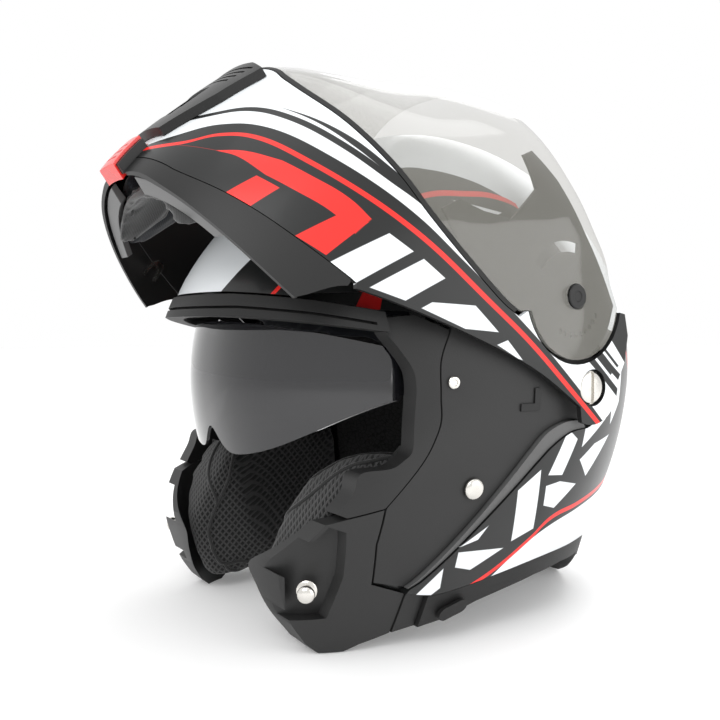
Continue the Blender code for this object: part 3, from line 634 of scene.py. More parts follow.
# %% [markdown]
# ## Moulded plastic, rubber, foam, cloth and metal
# Each of these is told apart by its surface more than by its colour. Textured plastic has a fine
# leather-like
# grain, bead foam shows the cells of its beads, the padding is an open knit with diamond holes, and
# plated steel
# has turning marks. All of them are black or grey, so the grain and the gloss have to do the work.

# %% Plastics and rubber
def grained_plastic(name, level, roughness=0.5, grain=1400.0, strength=0.28):
    recipe = Recipe(name, Specular_IOR_Level=0.35)
    cells = recipe.node("TexVoronoi", {"feature": "SMOOTH_F1"},
                        {"Vector": recipe.node("TexCoord", out=3), "Scale": grain})
    patches = recipe.noise(22.0, 3.0)
    recipe.bump(cells * 0.7 + recipe.noise(grain * 1.6) * 0.3, strength, 0.00012)
    color = recipe.mix(patches, gray(level * 0.85), gray(level * 1.2))
    return recipe.give(Base_Color=color, Roughness=patches * 0.12 + (roughness - 0.06))


PANEL_BLACK = grained_plastic("panel_black", 0.021, 0.50)
FRAME_BLACK = grained_plastic("frame_black", 0.017, 0.44)
BAND_BLACK = grained_plastic("band_black", 0.012, 0.42, 1700.0, 0.18)
VENT_BLACK = grained_plastic("vent_black", 0.008, 0.36, 1800.0, 0.15)
# Grey plastic of the ridge, made lighter as painted light for its sloped face, which is built flat.
RIDGE_GREY_AND_SLOPE_LIGHT = grained_plastic("ridge_grey_and_slope_light", 0.10, 0.36, 1800.0, 0.14)
LIP_GREY = grained_plastic("lip_grey", 0.11, 0.34, 1800.0, 0.14)
MECHANISM_BLACK = grained_plastic("mechanism_black", 0.010, 0.42, 1500.0, 0.06)
RUBBER_BLACK = grained_plastic("rubber_black", 0.012, 0.55, 2200.0, 0.3)
print("plastics:", PANEL_BLACK.name, FRAME_BLACK.name, BAND_BLACK.name, VENT_BLACK.name)


# %% The red button and levers
def button_red():
    recipe = Recipe("button_red", Coat_Weight=0.3, Coat_Roughness=0.1)
    haze = recipe.noise(60.0, 3.0)
    recipe.bump(recipe.noise(1500.0), 0.1, 0.00006)
    color = recipe.mix(haze, (0.66, 0.014, 0.012, 1.0), (0.82, 0.028, 0.022, 1.0))
    return recipe.give(Base_Color=color, Roughness=haze * 0.12 + 0.22)


BUTTON_RED = button_red()
print("made", BUTTON_RED.name)


# %% Plated steel
def plated_steel():
    recipe = Recipe("plated_steel", Metallic=1.0)
    marks = recipe.noise(2500.0, 1.0)
    smears = recipe.noise(180.0, 4.0)
    recipe.bump(marks, 0.10, 0.00004)
    color = recipe.mix(smears, (0.60, 0.58, 0.54, 1.0), (0.80, 0.78, 0.74, 1.0))
    return recipe.give(Base_Color=color, Roughness=smears * 0.16 + 0.14)


PLATED_STEEL = plated_steel()
print("made", PLATED_STEEL.name)


# %% Bead foam
def bead_foam():
    recipe = Recipe("bead_foam")
    spot = recipe.node("TexCoord", out=3)
    beads = recipe.node("TexVoronoi", {"feature": "DISTANCE_TO_EDGE"}, {"Vector": spot, "Scale": 330.0})
    seam = recipe.inside(0.06 - beads, 0.06)
    recipe.bump(1 - seam, 0.5, 0.0004)
    color = recipe.mix(seam, gray(0.022), gray(0.010))
    return recipe.give(Base_Color=color, Roughness=seam * 0.2 + 0.6)


BEAD_FOAM = bead_foam()
print("made", BEAD_FOAM.name)


# %% Padding cloths
def diamond_mesh(name, thread, hole, pitch=3.4):
    """Open knit: rows of diamond holes between thicker threads, pitch millimetres apart."""
    recipe = Recipe(name, Roughness=0.95, Sheen_Weight=0.12, Sheen_Roughness=0.5)
    x, y, z = recipe.place()
    wander = (recipe.noise(60.0) - 0.5) * 0.9
    along = (y * 0.75 + x * 0.9) / pitch
    across = (z + x * 0.2) / (pitch * 1.35)
    first = abs(recipe.math("SINE", (along + across + wander * 0.12) * math.pi))
    second = abs(recipe.math("SINE", (along - across + wander * 0.12) * math.pi))
    thread_mask = recipe.inside(0.52 - (first & second), 0.30)
    fuzz = recipe.noise(2600.0, 2.0)
    recipe.bump(thread_mask * 0.8 + fuzz * 0.2, 0.8, 0.0006)
    # Partly painted shade: the holes are near black, for the dark pad seen through them and for the shade
    # inside them; the threads, raised in the bump, are lighter.
    color = recipe.mix(thread_mask * (fuzz * 0.4 + 0.7), hole, thread)
    return recipe.give(Base_Color=color)


def brushed_knit(name, low, high):
    """Close smooth knit with fine ribs."""
    recipe = Recipe(name, Roughness=0.9, Sheen_Weight=0.35, Sheen_Roughness=0.4)
    x, y, z = recipe.place()
    ribs = recipe.math("SINE", (y + x * 0.6) * (2 * math.pi / 1.1)) * 0.5 + 0.5
    loops = recipe.math("SINE", (z - x * 0.3) * (2 * math.pi / 0.9)) * 0.5 + 0.5
    fuzz = recipe.noise(1800.0, 3.0)
    recipe.bump(ribs * loops * 0.7 + fuzz * 0.3, 0.5, 0.0003)
    # Partly painted shade: the colour is lighter on the crests of the ribs and darker between them, as the
    # bump's relief; the fuzz adds tone that varies at random.
    color = recipe.mix(ribs * 0.4 + fuzz * 0.6, low, high)
    return recipe.give(Base_Color=color)


PAD_MESH = diamond_mesh("pad_mesh", gray(0.055), gray(0.004))
LINING_KNIT = brushed_knit("lining_knit", (0.008, 0.010, 0.014, 1.0), (0.022, 0.025, 0.032, 1.0))
GUARD_FELT = brushed_knit("guard_felt", gray(0.035), gray(0.075))
PIPING = brushed_knit("piping", gray(0.012), gray(0.03))
print("cloths:", PAD_MESH.name, LINING_KNIT.name, GUARD_FELT.name)


# %% Woven webbing
def woven_webbing():
    recipe = Recipe("woven_webbing", Roughness=0.8, Sheen_Weight=0.2)
    x, y, z = recipe.place()
    warp = recipe.math("SINE", (y + x * 0.5) * (2 * math.pi / 1.6)) * 0.5 + 0.5
    weft = recipe.math("SINE", (x * 0.9 - y * 0.5 + z) * (2 * math.pi / 1.6)) * 0.5 + 0.5
    recipe.bump(warp * weft, 0.7, 0.0004)
    # Painted shade: the weave is darker in its hollows and lighter where the threads cross and rise, by the
    # same relief as the bump.
    color = recipe.mix(warp * weft, gray(0.012), gray(0.04))
    return recipe.give(Base_Color=color)


WEBBING = woven_webbing()
print("made", WEBBING.name)

# %% [markdown]
# ## Clear and tinted sheets
# A visor is a thin curved sheet, and light crosses both of its faces. Real refraction would blacken
# everything
# behind it, because the light rays that reach the shell are bent away, so the tint is alpha: each face
# lets part of
# the light by. A mirror coat is mixed in where the sheet is seen at a shallow angle, which is what
# makes it read as
# polished plastic. The factor comes from Layer Weight's Facing output, because a Fresnel factor would
# turn the
# sheet's inner face into a full mirror.

# %% Visor sheets
def clear_sheet(name, tint, alpha, mirror_level=0.9):
    recipe = Recipe(name, Roughness=0.06, Alpha=alpha)
    smears = recipe.noise(25.0, 4.0)
    haze = recipe.mix(smears, tuple(0.9 * c for c in tint[:3]) + (1.0,), tint)
    recipe.give(Base_Color=haze)
    mirror = recipe.tree.nodes.new("ShaderNodeBsdfPrincipled")
    mirror.inputs["Base Color"].default_value = gray(mirror_level)
    mirror.inputs["Metallic"].default_value = 1.0
    mirror.inputs["Roughness"].default_value = 0.05
    facing = recipe.node("LayerWeight", (), {"Blend": 0.5}, out=1)
    both = recipe.tree.nodes.new("ShaderNodeMixShader")
    recipe.feed(both.inputs[0], recipe.math("POWER", facing, 5.0) * 0.75 + 0.03)
    recipe.tree.links.new(recipe.shader.outputs[0], both.inputs[1])
    recipe.tree.links.new(mirror.outputs[0], both.inputs[2])
    output = recipe.tree.nodes["Material Output"]
    recipe.tree.links.new(both.outputs[0], output.inputs["Surface"])
    return recipe.material


LIGHT_SMOKE = clear_sheet("light_smoke", (0.27, 0.26, 0.22, 1.0), 0.24)
DARK_TINT = clear_sheet("dark_tint", (0.010, 0.010, 0.012, 1.0), 0.90)
print("sheets:", LIGHT_SMOKE.name, DARK_TINT.name)

# %% [markdown]
# ## Putting a finished piece in its place
# A piece gets a name, a material, rounded edges, its place in the frame and the body that it moves
# with. The plain nodes of the working model that it stands for
# are then no longer shown.

# %% Finish one piece, or a left and right pair
BEVEL_ANGLE = 48  # edges that turn by more degrees than this are rounded


def line_inside(obj, material):
    """Give the faces that look inwards their own finish."""
    obj.data.materials.append(material)
    for face in obj.data.polygons:
        core = Vector((0, MIDDLE_Y * MM, min(face.center.z, BELT_Z * MM)))
        face.material_index = int(face.normal.dot(face.center - core) < 0)


def finish_piece(obj, name, body, material, nodes=(), closed_bar=False, edge=0.45, sharp=38, slot=None,
                 lining=None):
    obj.name = name
    obj.data.name = name
    obj.data.materials.clear()
    obj.data.materials.append(material)
    if lining:
        line_inside(obj, lining)
    obj.data.shade_smooth()
    obj.data.set_sharp_from_angle(angle=math.radians(sharp))
    if edge:
        bevel = obj.modifiers.new("edges", "BEVEL")
        bevel.width = edge * MM
        bevel.segments = 2
        bevel.limit_method = "ANGLE"
        bevel.angle_limit = math.radians(BEVEL_ANGLE)
        bevel.harden_normals = True
    obj.data.transform(raised if closed_bar else to_frame)
    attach(obj, body)
    if nodes:
        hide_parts(*nodes)
    return obj


def refinish(node, material):
    """Give a node that keeps its plain shape a better finish."""
    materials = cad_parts[node].data.materials
    materials.clear()
    materials.append(material)


def finish_pair(obj, name, body, material, closed_bar=False, **more):
    for side, twin in (("_r", mirrored(obj)), ("_l", obj)):
        finish_piece(twin, name + "_shape" + side, body, material, (name + side,), closed_bar, **more)
    print("made the pair", name)


def side_wall(outline, outer, inner, low=30.0):
    """Part of the shell's wall on the wearer's left inside a side-view outline."""
    return cut(shell_wall(outer, inner), outline, low, FAR)


# %% [markdown]
# ## The painted shell
# The shell is open below and in front. A shallow step on each side takes the panel and the chin bar's
# arm, so that
# both lie flush with the paint.

# %% Outlines of the shell in the side view
SEAM = [(-43, 171), (-49, 155), (-49, 138), (-49, 126), (-53, 116), (-61, 104), (-79, 84)]
PORT_EDGE = [(-74, 176), (-73, 168), (-68, 160), (-62, 149), (-61, 136), (-63, 121), (-65, 111),
             (-69, 107),
             (-76, 103), (-90, 101), (-94, 92), (-101, 82)]
RIDGE = [(-61, 40), (-54, 44), (-41, 55), (-27, 68), (-15, 79), (-3, 90), (9, 101), (19, 109),
         (32, 115), (46, 116.3)]
JAW_FRONT = [(-106, 77), (-115, 64), (-120, 51), (-117, 37), (-112, 24), (-104, 12)]
TRIM_TOP = [(-60, 37.5), (-45, 34.5), (-27, 36), (-3, 40), (25, 45), (50, 47), (75, 47), (97, 40),
            (112, 26),
            (122, 18), (180, 16)]
BASE_LINE = [(-97, 6), (-85, 6), (-78, 9.5), (-62, 14), (-34, 18), (-14, 25), (26, 34), (50, 37),
             (75, 36), (96, 27),
             (108, 14), (117, 6), (180, 6)]
PIVOT = FLIP_PIVOT[1:]
GAP = 0.4
RECESS_DEPTH = 6.2
PANEL_STEP = 4.0
SHELL_WALL = 8.0

shell = shell_wall(0.0, -SHELL_WALL)
opening = [(-FAR, 191), (-150, 191), (-128, 190.2), (-104, 186.2), (-76, 180.2), (-56, 179)] + flow(SEAM)
opening += [(-82, 66), (-80, 45), (-60, 37), (-60, -60), (-FAR, -60)]
shell = pierce(shell, opening)
shell = pierce(shell, flow(TRIM_TOP) + [(FAR, 16), (FAR, -60), (-70, -60), (-70, 37.5)])
recess = flow(RIDGE) + arc(PIVOT, 23, -78, 50) + [(52, 182), (36, 190), (-43, 190), (-110, 188),
                                                  (-110, 30), (-64, 36)]
for low, high in ((40, FAR), (-FAR, -40)):
    step = cut(shell_wall(20.0, -RECESS_DEPTH), recess, low, high)
    shell = combine(shell, step, "DIFFERENCE")
finish_piece(shell, "painted_shell", "helmet_shell", SHELL_PAINT, ("outer_shell",), edge=0.4,
             lining=MECHANISM_BLACK)
print("shell faces:", len(shell.data.polygons))

# %% [markdown]
# ## Covers on the side of the shell
# Five moulded pieces cover each side: the frame of the eye port, the flat panel, the grey ridge behind
# it, the jaw
# cover with its latch pocket, and a small joiner before the edge trim. The ridge is built as a flat strip,
# and its grey is made lighter as painted light, for the light that a sloped face would catch.

# %% Side covers
frame_edge = flow(PORT_EDGE)[::-1] + [(-60, 177.5), (-44, 170)] + shifted(flow(SEAM), -GAP,
                                                                          0)[1:] + [(-97, 80.2)]
eyeport_frame = side_wall(frame_edge, -PANEL_STEP, -13.6)
finish_pair(eyeport_frame, "eyeport_frame", "helmet_shell", FRAME_BLACK, edge=0.9)

# The ridge is a flat strip; its lighter grey finish is painted light for the light a sloped face would
# catch.
ridge_line = flow(RIDGE)
ridge_width = np.interp(np.linspace(0, 1, len(ridge_line)), (0, 0.35, 0.8, 1), (1.0, 4.0, 9.0, 7.0))
ridge_low = [(y - 0.7 * GAP, z + 0.8 * GAP) for y, z in ridge_line]
ridge_high = [(y - 0.7 * w, z + 0.7 * w) for (y, z), w in zip(ridge_line, ridge_width)]
ridge_trim = side_wall(ridge_low + ridge_high[::-1], -1.2, -RECESS_DEPTH + GAP)
finish_pair(ridge_trim, "ridge_trim", "helmet_shell", RIDGE_GREY_AND_SLOPE_LIGHT, edge=0.7)

panel_edge = shifted(ridge_high[1:], -0.4, 0.4) + arc(PIVOT, 22, -78, 60) + [(20, 170), (-42.6, 173.5)]
panel_edge += shifted(flow(SEAM), GAP, 0) + [(-81.4, 66), (-79.4, 45.4), (-63, 41.2)]
side_panel = side_wall(panel_edge, -PANEL_STEP, -RECESS_DEPTH + GAP)
screw_bore = turned([(90, 9.6), (140, 9.6)], (0, *PIVOT), ACROSS)
side_panel = combine(side_panel, screw_bore, "DIFFERENCE")
finish_pair(side_panel, "side_panel", "helmet_shell", PANEL_BLACK, edge=0.5)

clip_edge = [(-4, 128), (9, 128), (9, 140), (5, 140), (5, 132), (-4, 132)]
finish_pair(side_wall(clip_edge, -3.0, -PANEL_STEP + 0.3), "panel_clip", "helmet_shell",
            MECHANISM_BLACK, edge=0.2)

jaw_edge = [(-97, 79.4), (-79.8, 83.2), (-82.4, 66), (-80.4, 44.4), (-60.8, 36.8), (-62.6, 14)]
jaw_edge += BASE_LINE[2::-1] + flow(JAW_FRONT)[::-1]
jaw_cover = side_wall(jaw_edge, -PANEL_STEP, -13.6, 20)
latch_pocket = [(-104.5, 76), (-110, 69), (-122, 67), (-122, 51), (-118, 49), (-114, 25), (-98, 27),
                (-95, 50), (-97, 73)]
jaw_cover = combine(jaw_cover, cut(shell_wall(6.0, -10.4), latch_pocket, 40, FAR), "DIFFERENCE")
finish_pair(jaw_cover, "jaw_cover", "helmet_shell", PANEL_BLACK, edge=0.9)

joiner_edge = [(-60.2, 36.4), (-48.6, 34.6), (-49.4, 16.2), (-62, 14.4)]
finish_pair(side_wall(joiner_edge, -PANEL_STEP + 0.8, -SHELL_WALL - 3), "edge_joiner", "helmet_shell",
            FRAME_BLACK)

# %% [markdown]
# ## Rubber round the edges
# A trim closes the shell's lower edge behind the joiners, and a seal with two lips runs under the brow,
# where the
# closed visor presses on it.

# %% Base trim and brow seal
trim_edge = [(-48.2, 34.1)] + [(y, z - GAP) for y, z in flow(TRIM_TOP) if y > -47]
trim_edge += [p for p in BASE_LINE if p[0] > -47][::-1] + [(-48.9, 16.0)]
base_trim = cut(shell_wall(-0.3, -SHELL_WALL), trim_edge)
finish_piece(base_trim, "edge_trim", "helmet_shell", RUBBER_BLACK, ("base_trim",), edge=1.1)

BROW_TOP = [(-170, 190), (-128, 188.8), (-104, 184.8), (-76, 178.8)]
BROW_BOTTOM = [(-74.8, 169), (-104, 173.5), (-128, 177), (-170, 178)]
brow_seal = cut(shell_wall(1.6, -9.0), BROW_TOP + BROW_BOTTOM)
groove = [(-170, 183.6), (-128, 182.5), (-104, 178.8), (-80, 173.8), (-80, 172.4), (-104, 177.4),
          (-128, 181.1), (-170, 182.2)]
brow_seal = combine(brow_seal, cut(shell_wall(5.0, -2.2), groove), "DIFFERENCE")
finish_piece(brow_seal, "brow_lips", "helmet_shell", RUBBER_BLACK, ("brow_seal",), edge=1.2)
print("rubber made")

# %% [markdown]
# ## The chin bar
# The chin bar is drawn closed, as one wall from hinge to hinge. Its painted upper part and black lower
# band meet at
# a thin groove. Inside the lower edge runs a grey lip, and the middle is open for the release button.

# %% Outlines of the chin bar
BAR_WALL = 3.0
VISOR_WALL = 2.2
VISOR_PIVOT = (0.0, -4.9, 156.8)
BAR_TOP = [(-220, 124), (-184, 120), (-172, 113), (-160, 110), (-140, 110), (-109, 109), (-86, 107),
           (-60, 108),
           (-33, 112), (-19, 117)]
BAR_LOWER = [(-220, 14), (-178, 20), (-172, 26), (-158, 25), (-127, 26), (-94, 29), (-90, 32),
             (-82, 52), (-61, 67),
             (-24, 91), (12, 112), (51, 128)]
BAND_SEAM = [(-220, 36), (-172, 35), (-161, 35), (-144, 40), (-129, 44), (-112, 48), (-96, 52), (-84, 55)]
VISOR_TOP = [(8, 182), (-8, 189), (-25, 193), (-41, 198), (-57, 203), (-90, 217), (-112, 225),
             (-130, 229), (-220, 229)]

visor_rest = arc(VISOR_PIVOT[1:], 36, -112, 42)
arm_round = arc(PIVOT, 20, -60, 62)
arm_edge = flow(BAR_LOWER[7:])[:-1] + arm_round + [(46, 168), (36, 179), (25, 184)]
upper_edge = [(y, z + GAP) for y, z in flow(BAND_SEAM)] + [(-80.6, 56)] + arm_edge[1:] + visor_rest[::-1]
chin_bar = cut(bar_wall(0.0, -BAR_WALL), upper_edge + flow(BAR_TOP)[::-1])
chin_bar = combine(chin_bar, turned([(-FAR, 10.0), (FAR, 10.0)], (0, *PIVOT), ACROSS), "DIFFERENCE")
chin_bar = pierce(chin_bar, [(-13.2, 10), (13.2, 10), (12.4, 46.4), (-12.4, 46.4)], *AHEAD)
finish_piece(chin_bar, "chin_bar_painted", "chin_bar", CHIN_BAR_PAINT, ("chin_bar_shell",), True,
             edge=0.7,
             lining=BAND_BLACK)

# %% Lower band and lip of the chin bar
band_edge = flow(BAND_SEAM) + [(-82.6, 54)] + flow(BAR_LOWER)[:43][::-1]
band = cut(bar_wall(-0.2, -2.8), band_edge)
band = cut(band, [(15, 0), (160, 0), (160, 70), (14, 70)], -FAR, -20, "Y")
finish_pair(band, "chin_lower_band", "chin_bar", BAND_BLACK, True, edge=0.6)
lip_edge = [(-FAR, 19), (-178, 23), (-172, 27), (-158, 26.4), (-128, 27.2), (-128, 31.5), (-158, 31),
            (-178, 30), (-FAR, 30)]
lip = cut(bar_wall(-BAR_WALL - 1.4, -14.0), lip_edge)
lip = cut(lip, [(19.5, 10), (90, 10), (90, 60), (19.5, 60)], -FAR, -60, "Y")
finish_pair(lip, "chin_lip", "chin_bar", LIP_GREY, True, edge=1.0)

# %% Vent cover with its ribs, and its slider
def grooved(piece, heights, half_widths, tall, outer, inner):
    """Cut level grooves into the front of a piece, between two offsets of the chin bar's wall."""
    for z, half in zip(heights, half_widths):
        groove = [(-half, z), (half, z), (half, z + tall), (-half, z + tall)]
        piece = combine(piece, cut(bar_wall(outer, inner), groove, *AHEAD), "DIFFERENCE")
    return piece


VENT_EDGE = [(-22, 52), (22, 52), (34, 84), (40, 112), (26, 117), (-26, 117), (-40, 112), (-34, 84)]
vent_cover = cut(bar_wall(5.0, 0.4), VENT_EDGE, *AHEAD)
vent_cover = pierce(vent_cover, [(-13, 66), (13, 66), (16, 92), (-16, 92)], *AHEAD)
vent_cover = grooved(vent_cover, [97 + 4.4 * i for i in range(4)], [27 + 2 * i for i in range(4)], 1.6,
                     8.0, 3.4)
finish_piece(vent_cover, "vent_cover_ribbed", "chin_bar", VENT_BLACK, ("chin_vent_cover",), True,
             edge=0.8)
vent_slider = cut(bar_wall(4.0, 0.8), [(-10, 70), (10, 70), (11, 78), (-11, 78)], *AHEAD)
vent_slider = grooved(vent_slider, [71.7 + 2.1 * i for i in range(3)], [8, 8, 8], 0.9, 8.0, 3.2)
finish_piece(vent_slider, "vent_slider_ribbed", "chin_vent_slider", VENT_BLACK, ("chin_vent_slider",),
             True, edge=0.3)

# %% Release button with a raised thumb pad
button = cut(bar_wall(6.0, -3.0), [(-12, 24), (12, 24), (11, 45), (-11, 45)], *AHEAD)
button = grooved(button, [28.5 + 4.6 * i for i in range(3)], [7.5, 7.5, 7.5], 1.5, 9.0, 5.2)
finish_piece(button, "release_key", "release_button", BUTTON_RED, ("release_button",), True, edge=1.0)
for side, start in (("_l", 11.2), ("_r", -15.2)):
    cheek = cut(bar_wall(4.6, -1.0), [(start, 25), (start + 4.0, 25), (start + 4.0, 44), (start, 44)],
                *AHEAD)
    finish_piece(cheek, "key_surround" + side, "chin_bar", VENT_BLACK, (), True, edge=0.6)
print("chin bar made")

# %% [markdown]
# ## The visor and what carries it
# The visor is one sheet cut from the same wall, a hair below the paint. Under it, on each side, a black
# plate holds
# the pivot, an arc slot that limits the travel and a ratchet with small teeth.

# %% Visor, its rubber line and its pivot caps
visor_end = arc(VISOR_PIVOT[1:], 33.5, -112, 45)
visor_edge = [(y, z + 3.4) for y, z in flow(BAR_TOP) if y < -20] + visor_end + flow(VISOR_TOP)[1:]
visor = cut(bar_wall(-0.2, -VISOR_WALL), visor_edge)
visor = combine(visor, turned([(-FAR, 7.0), (FAR, 7.0)], VISOR_PIVOT, ACROSS), "DIFFERENCE")
finish_piece(visor, "visor_sheet", "visor", LIGHT_SMOKE, ("visor",), True, edge=0.4)

rubber_line = [(y, z + GAP) for y, z in flow(BAR_TOP) if y < -22]
rubber_line += [(y, z + 3.0) for y, z in flow(BAR_TOP)[::-1] if y < -22]
finish_piece(cut(bar_wall(0.3, -BAR_WALL), rubber_line), "visor_rubber", "chin_bar", RUBBER_BLACK,
             ("visor_seal",), True, edge=0.5)

# %% Visor plates with ratchet teeth
plate_edge = arc(VISOR_PIVOT[1:], 33, -100, 30) + [(18, 182), (-24, 189), (-55, 197), (-74, 199),
                                                   (-76, 190), (-60, 178)]
plate_edge += [(-58, 150), (-70, 138), (-82, 130), (-84, 118), (-60, 112), (-33, 118)]
carrier = cut(bar_wall(-BAR_WALL - 0.6, -5.1), plate_edge, 60, FAR)
slot_edge = arc(VISOR_PIVOT[1:], 30, 130, 200) + arc(VISOR_PIVOT[1:], 24, 200, 130)
carrier = pierce(carrier, slot_edge, 60, FAR)
for tooth in range(9):
    notch = arc((0, 0), 1.5, 0, 360, 8)[:-1]
    turn = math.radians(-62 + 11 * tooth)
    notch = shifted(notch, VISOR_PIVOT[1] + 20.5 * math.cos(turn), VISOR_PIVOT[2] + 20.5 * math.sin(turn))
    carrier = pierce(carrier, notch, 60, FAR)
carrier = combine(carrier, turned([(90, 5.4), (FAR, 5.4)], VISOR_PIVOT, ACROSS), "DIFFERENCE")
finish_pair(carrier, "visor_base_plate", "chin_bar", MECHANISM_BLACK, True, edge=0.3)
cap_profile = [(0, 4.9), (3.9, 4.9), (3.9, 6.0), (4.2, 6.4), (5.0, 6.4), (5.5, 5.9), (5.5, 3.0),
               (5.0, 2.6)]
finish_pair(turned(cap_profile, (126.6, *VISOR_PIVOT[1:]), ACROSS), "visor_pivot_cap", "chin_bar",
            MECHANISM_BLACK,
            True, edge=0.2)

# %% [markdown]
# ## The sun visor
# The tinted inner visor swings up into a pocket of the liner, so it has to be part of a surface turned
# about its own
# hinge line. A lens of any other shape would jam. Its lower edge has a notch for the nose.

# %% Sun visor and pins
SUN_PIVOT = (0.0, 20.0, 140.0)
SUN_REACH = 144.0
SUN_HALF_SPAN = 112.0
SUN_WALL = 2.0


def sun_point(x, angle, off=0.0):
    radius = (SUN_REACH + off) * (1 - (np.abs(x) / (SUN_HALF_SPAN + off)) ** 2.3) ** (1 / 2.3)
    return x, SUN_PIVOT[1] - radius * math.cos(angle), SUN_PIVOT[2] + radius * math.sin(angle)


spread = np.sin(np.radians(np.linspace(-59, 59, 121))) / math.sin(math.radians(59)) * 96
low_edge = -15.5 + 6 * np.exp(-((spread / 11) ** 2)) + 11.5 * (np.abs(spread) / 96) ** 3
lens_skins = []
for off in (0.0, -SUN_WALL):
    rows = [[sun_point(x, math.radians(a + (14.0 - a) * t), off) for x, a in zip(spread, low_edge)]
            for t in np.linspace(0, 1, 25)]
    lens_skins.append(np.array(rows))
sun_visor = skin(*lens_skins)
for side in (1, -1):
    arm = [(-62, 137), (-62, 160), (-40, 156), (12, 147)] + arc(SUN_PIVOT[1:], 9, 80, -80) + [(12, 133)]
    low, high = sorted((side * 93.4, side * 95.6))
    sun_visor = combine(sun_visor, prism(arm, low, high), "UNION")
sun_visor = combine(sun_visor, turned([(-FAR, 4.4), (FAR, 4.4)], SUN_PIVOT, ACROSS), "DIFFERENCE")
finish_piece(sun_visor, "sun_visor_lens", "sun_visor", DARK_TINT, ("sun_visor",), edge=0.4)
finish_pair(turned([(0, 3.8), (5.6, 3.8), (6.4, 3.0)], (93.0, *SUN_PIVOT[1:]), ACROSS),
            "sun_visor_pin", "helmet_shell",
            PLATED_STEEL, edge=0.2)

# %% [markdown]
# ## Metal parts
# Screws, rivets and latch posts are turned on a lathe, so they are built by turning a profile about an
# axis.

# %% Rivets, screws and latch posts
rivet = [(0, 5.6), (0.9, 5.6), (1.5, 5.3), (2.1, 4.5), (2.5, 3.2), (2.75, 1.6), (2.8, 0.4)]
finish_pair(turned(rivet, (119.6, -31, 90), (1, -0.10, -0.13)), "strap_rivet", "helmet_shell",
            PLATED_STEEL, edge=0.15)
small_screw = [(0, 3.2), (0.9, 3.2), (1.3, 2.8), (1.4, 1.7), (0.9, 1.5), (0.8, 0.3)]
finish_pair(turned(small_screw, (118.3, -43, 144), (1, -0.16, 0)), "panel_screw", "helmet_shell",
            PLATED_STEEL, edge=0.1)
post = [(0, 5.2), (1.0, 5.2), (1.4, 4.6), (1.8, 2.7), (4.9, 2.7), (5.2, 3.4), (5.8, 4.1), (6.8, 4.4),
        (7.8, 4.2),
        (8.6, 3.4), (9.1, 2.0), (9.2, 0.5)]
finish_pair(turned(post, (84.6, -107.7, 42), (0.84, -0.545, 0)), "latch_post", "helmet_shell",
            PLATED_STEEL, edge=0.1)
head = turned([(0, 8.0), (4.7, 8.0), (5.0, 8.4), (5.0, 9.0), (6.1, 9.0), (6.7, 8.6), (7.2, 7.4),
               (7.4, 5.0)],
              (124.0, *PIVOT), ACROSS)
head = pierce(head, [(40.9, 100), (43.1, 100), (43.1, 180), (40.9, 180)], 129.8, 140)
finish_pair(head, "chin_pivot_screw", "helmet_shell", PLATED_STEEL, edge=0.2)
for side in ("_l", "_r"):
    refinish("latch_hook" + side, PLATED_STEEL)

# %% [markdown]
# ## Foam that shows
# The energy liner and the cheek foams are moulded from beads. Little of them is seen, behind the pads
# and above the
# sun visor, so the liner is rebuilt finely and the cheek foams keep their plain shape with a bead finish.

# %% Liner and cheek foams
liner_edge = [(-FAR, 180), (-76, 181), (-41, 180), (-40.5, 170), (-46.5, 150), (-46.5, 112), (14, 112),
              (14, 58), (60, 52),
              (FAR, 48), (FAR, -60), (-FAR, -60)]
liner = pierce(shell_wall(-10.4, -38.0), liner_edge)
turns = np.radians(np.linspace(-32, 60, 24))
wide = np.linspace(-98, 98, 41)
near = np.array([[sun_point(x, a, -5.5) for x in wide] for a in turns])
beyond = np.array([[(x, SUN_PIVOT[1] - FAR * math.cos(a), SUN_PIVOT[2] + FAR * math.sin(a))
                    for x in wide] for a in turns])
liner = combine(liner, skin(beyond, near), "DIFFERENCE")
for side in (1, -1):
    sector = [(34, 128), (34, 154), (20, 156)] + arc(SUN_PIVOT[1:], 100, 122, 190) + [(-50, 128)]
    low, high = sorted((side * 91.5, side * 100.0))
    liner = pierce(liner, sector, low, high)
finish_piece(liner, "bead_liner", "helmet_shell", BEAD_FOAM, ("eps_liner",), edge=0.8)
for side in ("_l", "_r"):
    refinish("eps_cheek" + side, BEAD_FOAM)

# %% [markdown]
# ## Padding
# Pads are foam in a sewn cover. A drawn block never looks soft, so each pad starts as a slightly
# smaller solid, is
# remeshed into even faces and is blown up gently by the cloth solver, as stuffing fills a cover. How
# far a point
# may move is capped, which keeps the pad inside its space, and piping is laid afterwards along the seams of
# the cheek pads and the breath guard.

# %% A pad from a plain solid
def stuffed(name, solid, body, material, node, closed_bar=False, voxel=5.0, swell=4.0, pressure=4.0,
            smoothing=6, slot=None):
    """Remesh the solid, blow it up as cloth, cap the swelling and settle it as a padded piece."""
    pad = bpy.data.objects.new(name, solid.data.copy())
    bpy.context.collection.objects.link(pad)
    bpy.data.objects.remove(solid)
    remesh = pad.modifiers.new("even", "REMESH")
    remesh.mode = "VOXEL"
    remesh.voxel_size = voxel * MM
    soften = pad.modifiers.new("soften", "SMOOTH")
    soften.factor = 0.6
    soften.iterations = smoothing
    apply_modifiers(pad)
    start = points_of(pad)
    blow_up(pad, pressure)
    moved = points_of(pad) - start
    length = np.linalg.norm(moved, axis=1, keepdims=True)
    keep = np.minimum(1.0, swell * MM / np.maximum(length, 1e-9))
    move_points(pad, start + moved * keep)
    finer = pad.modifiers.new("finer", "SUBSURF")
    finer.levels = 1
    finer.render_levels = 1
    apply_modifiers(pad)
    finish_piece(pad, name, body, material, (node,), closed_bar, edge=0, sharp=80, slot=slot)
    print("padded", name, "with", len(pad.data.vertices), "points")
    return pad


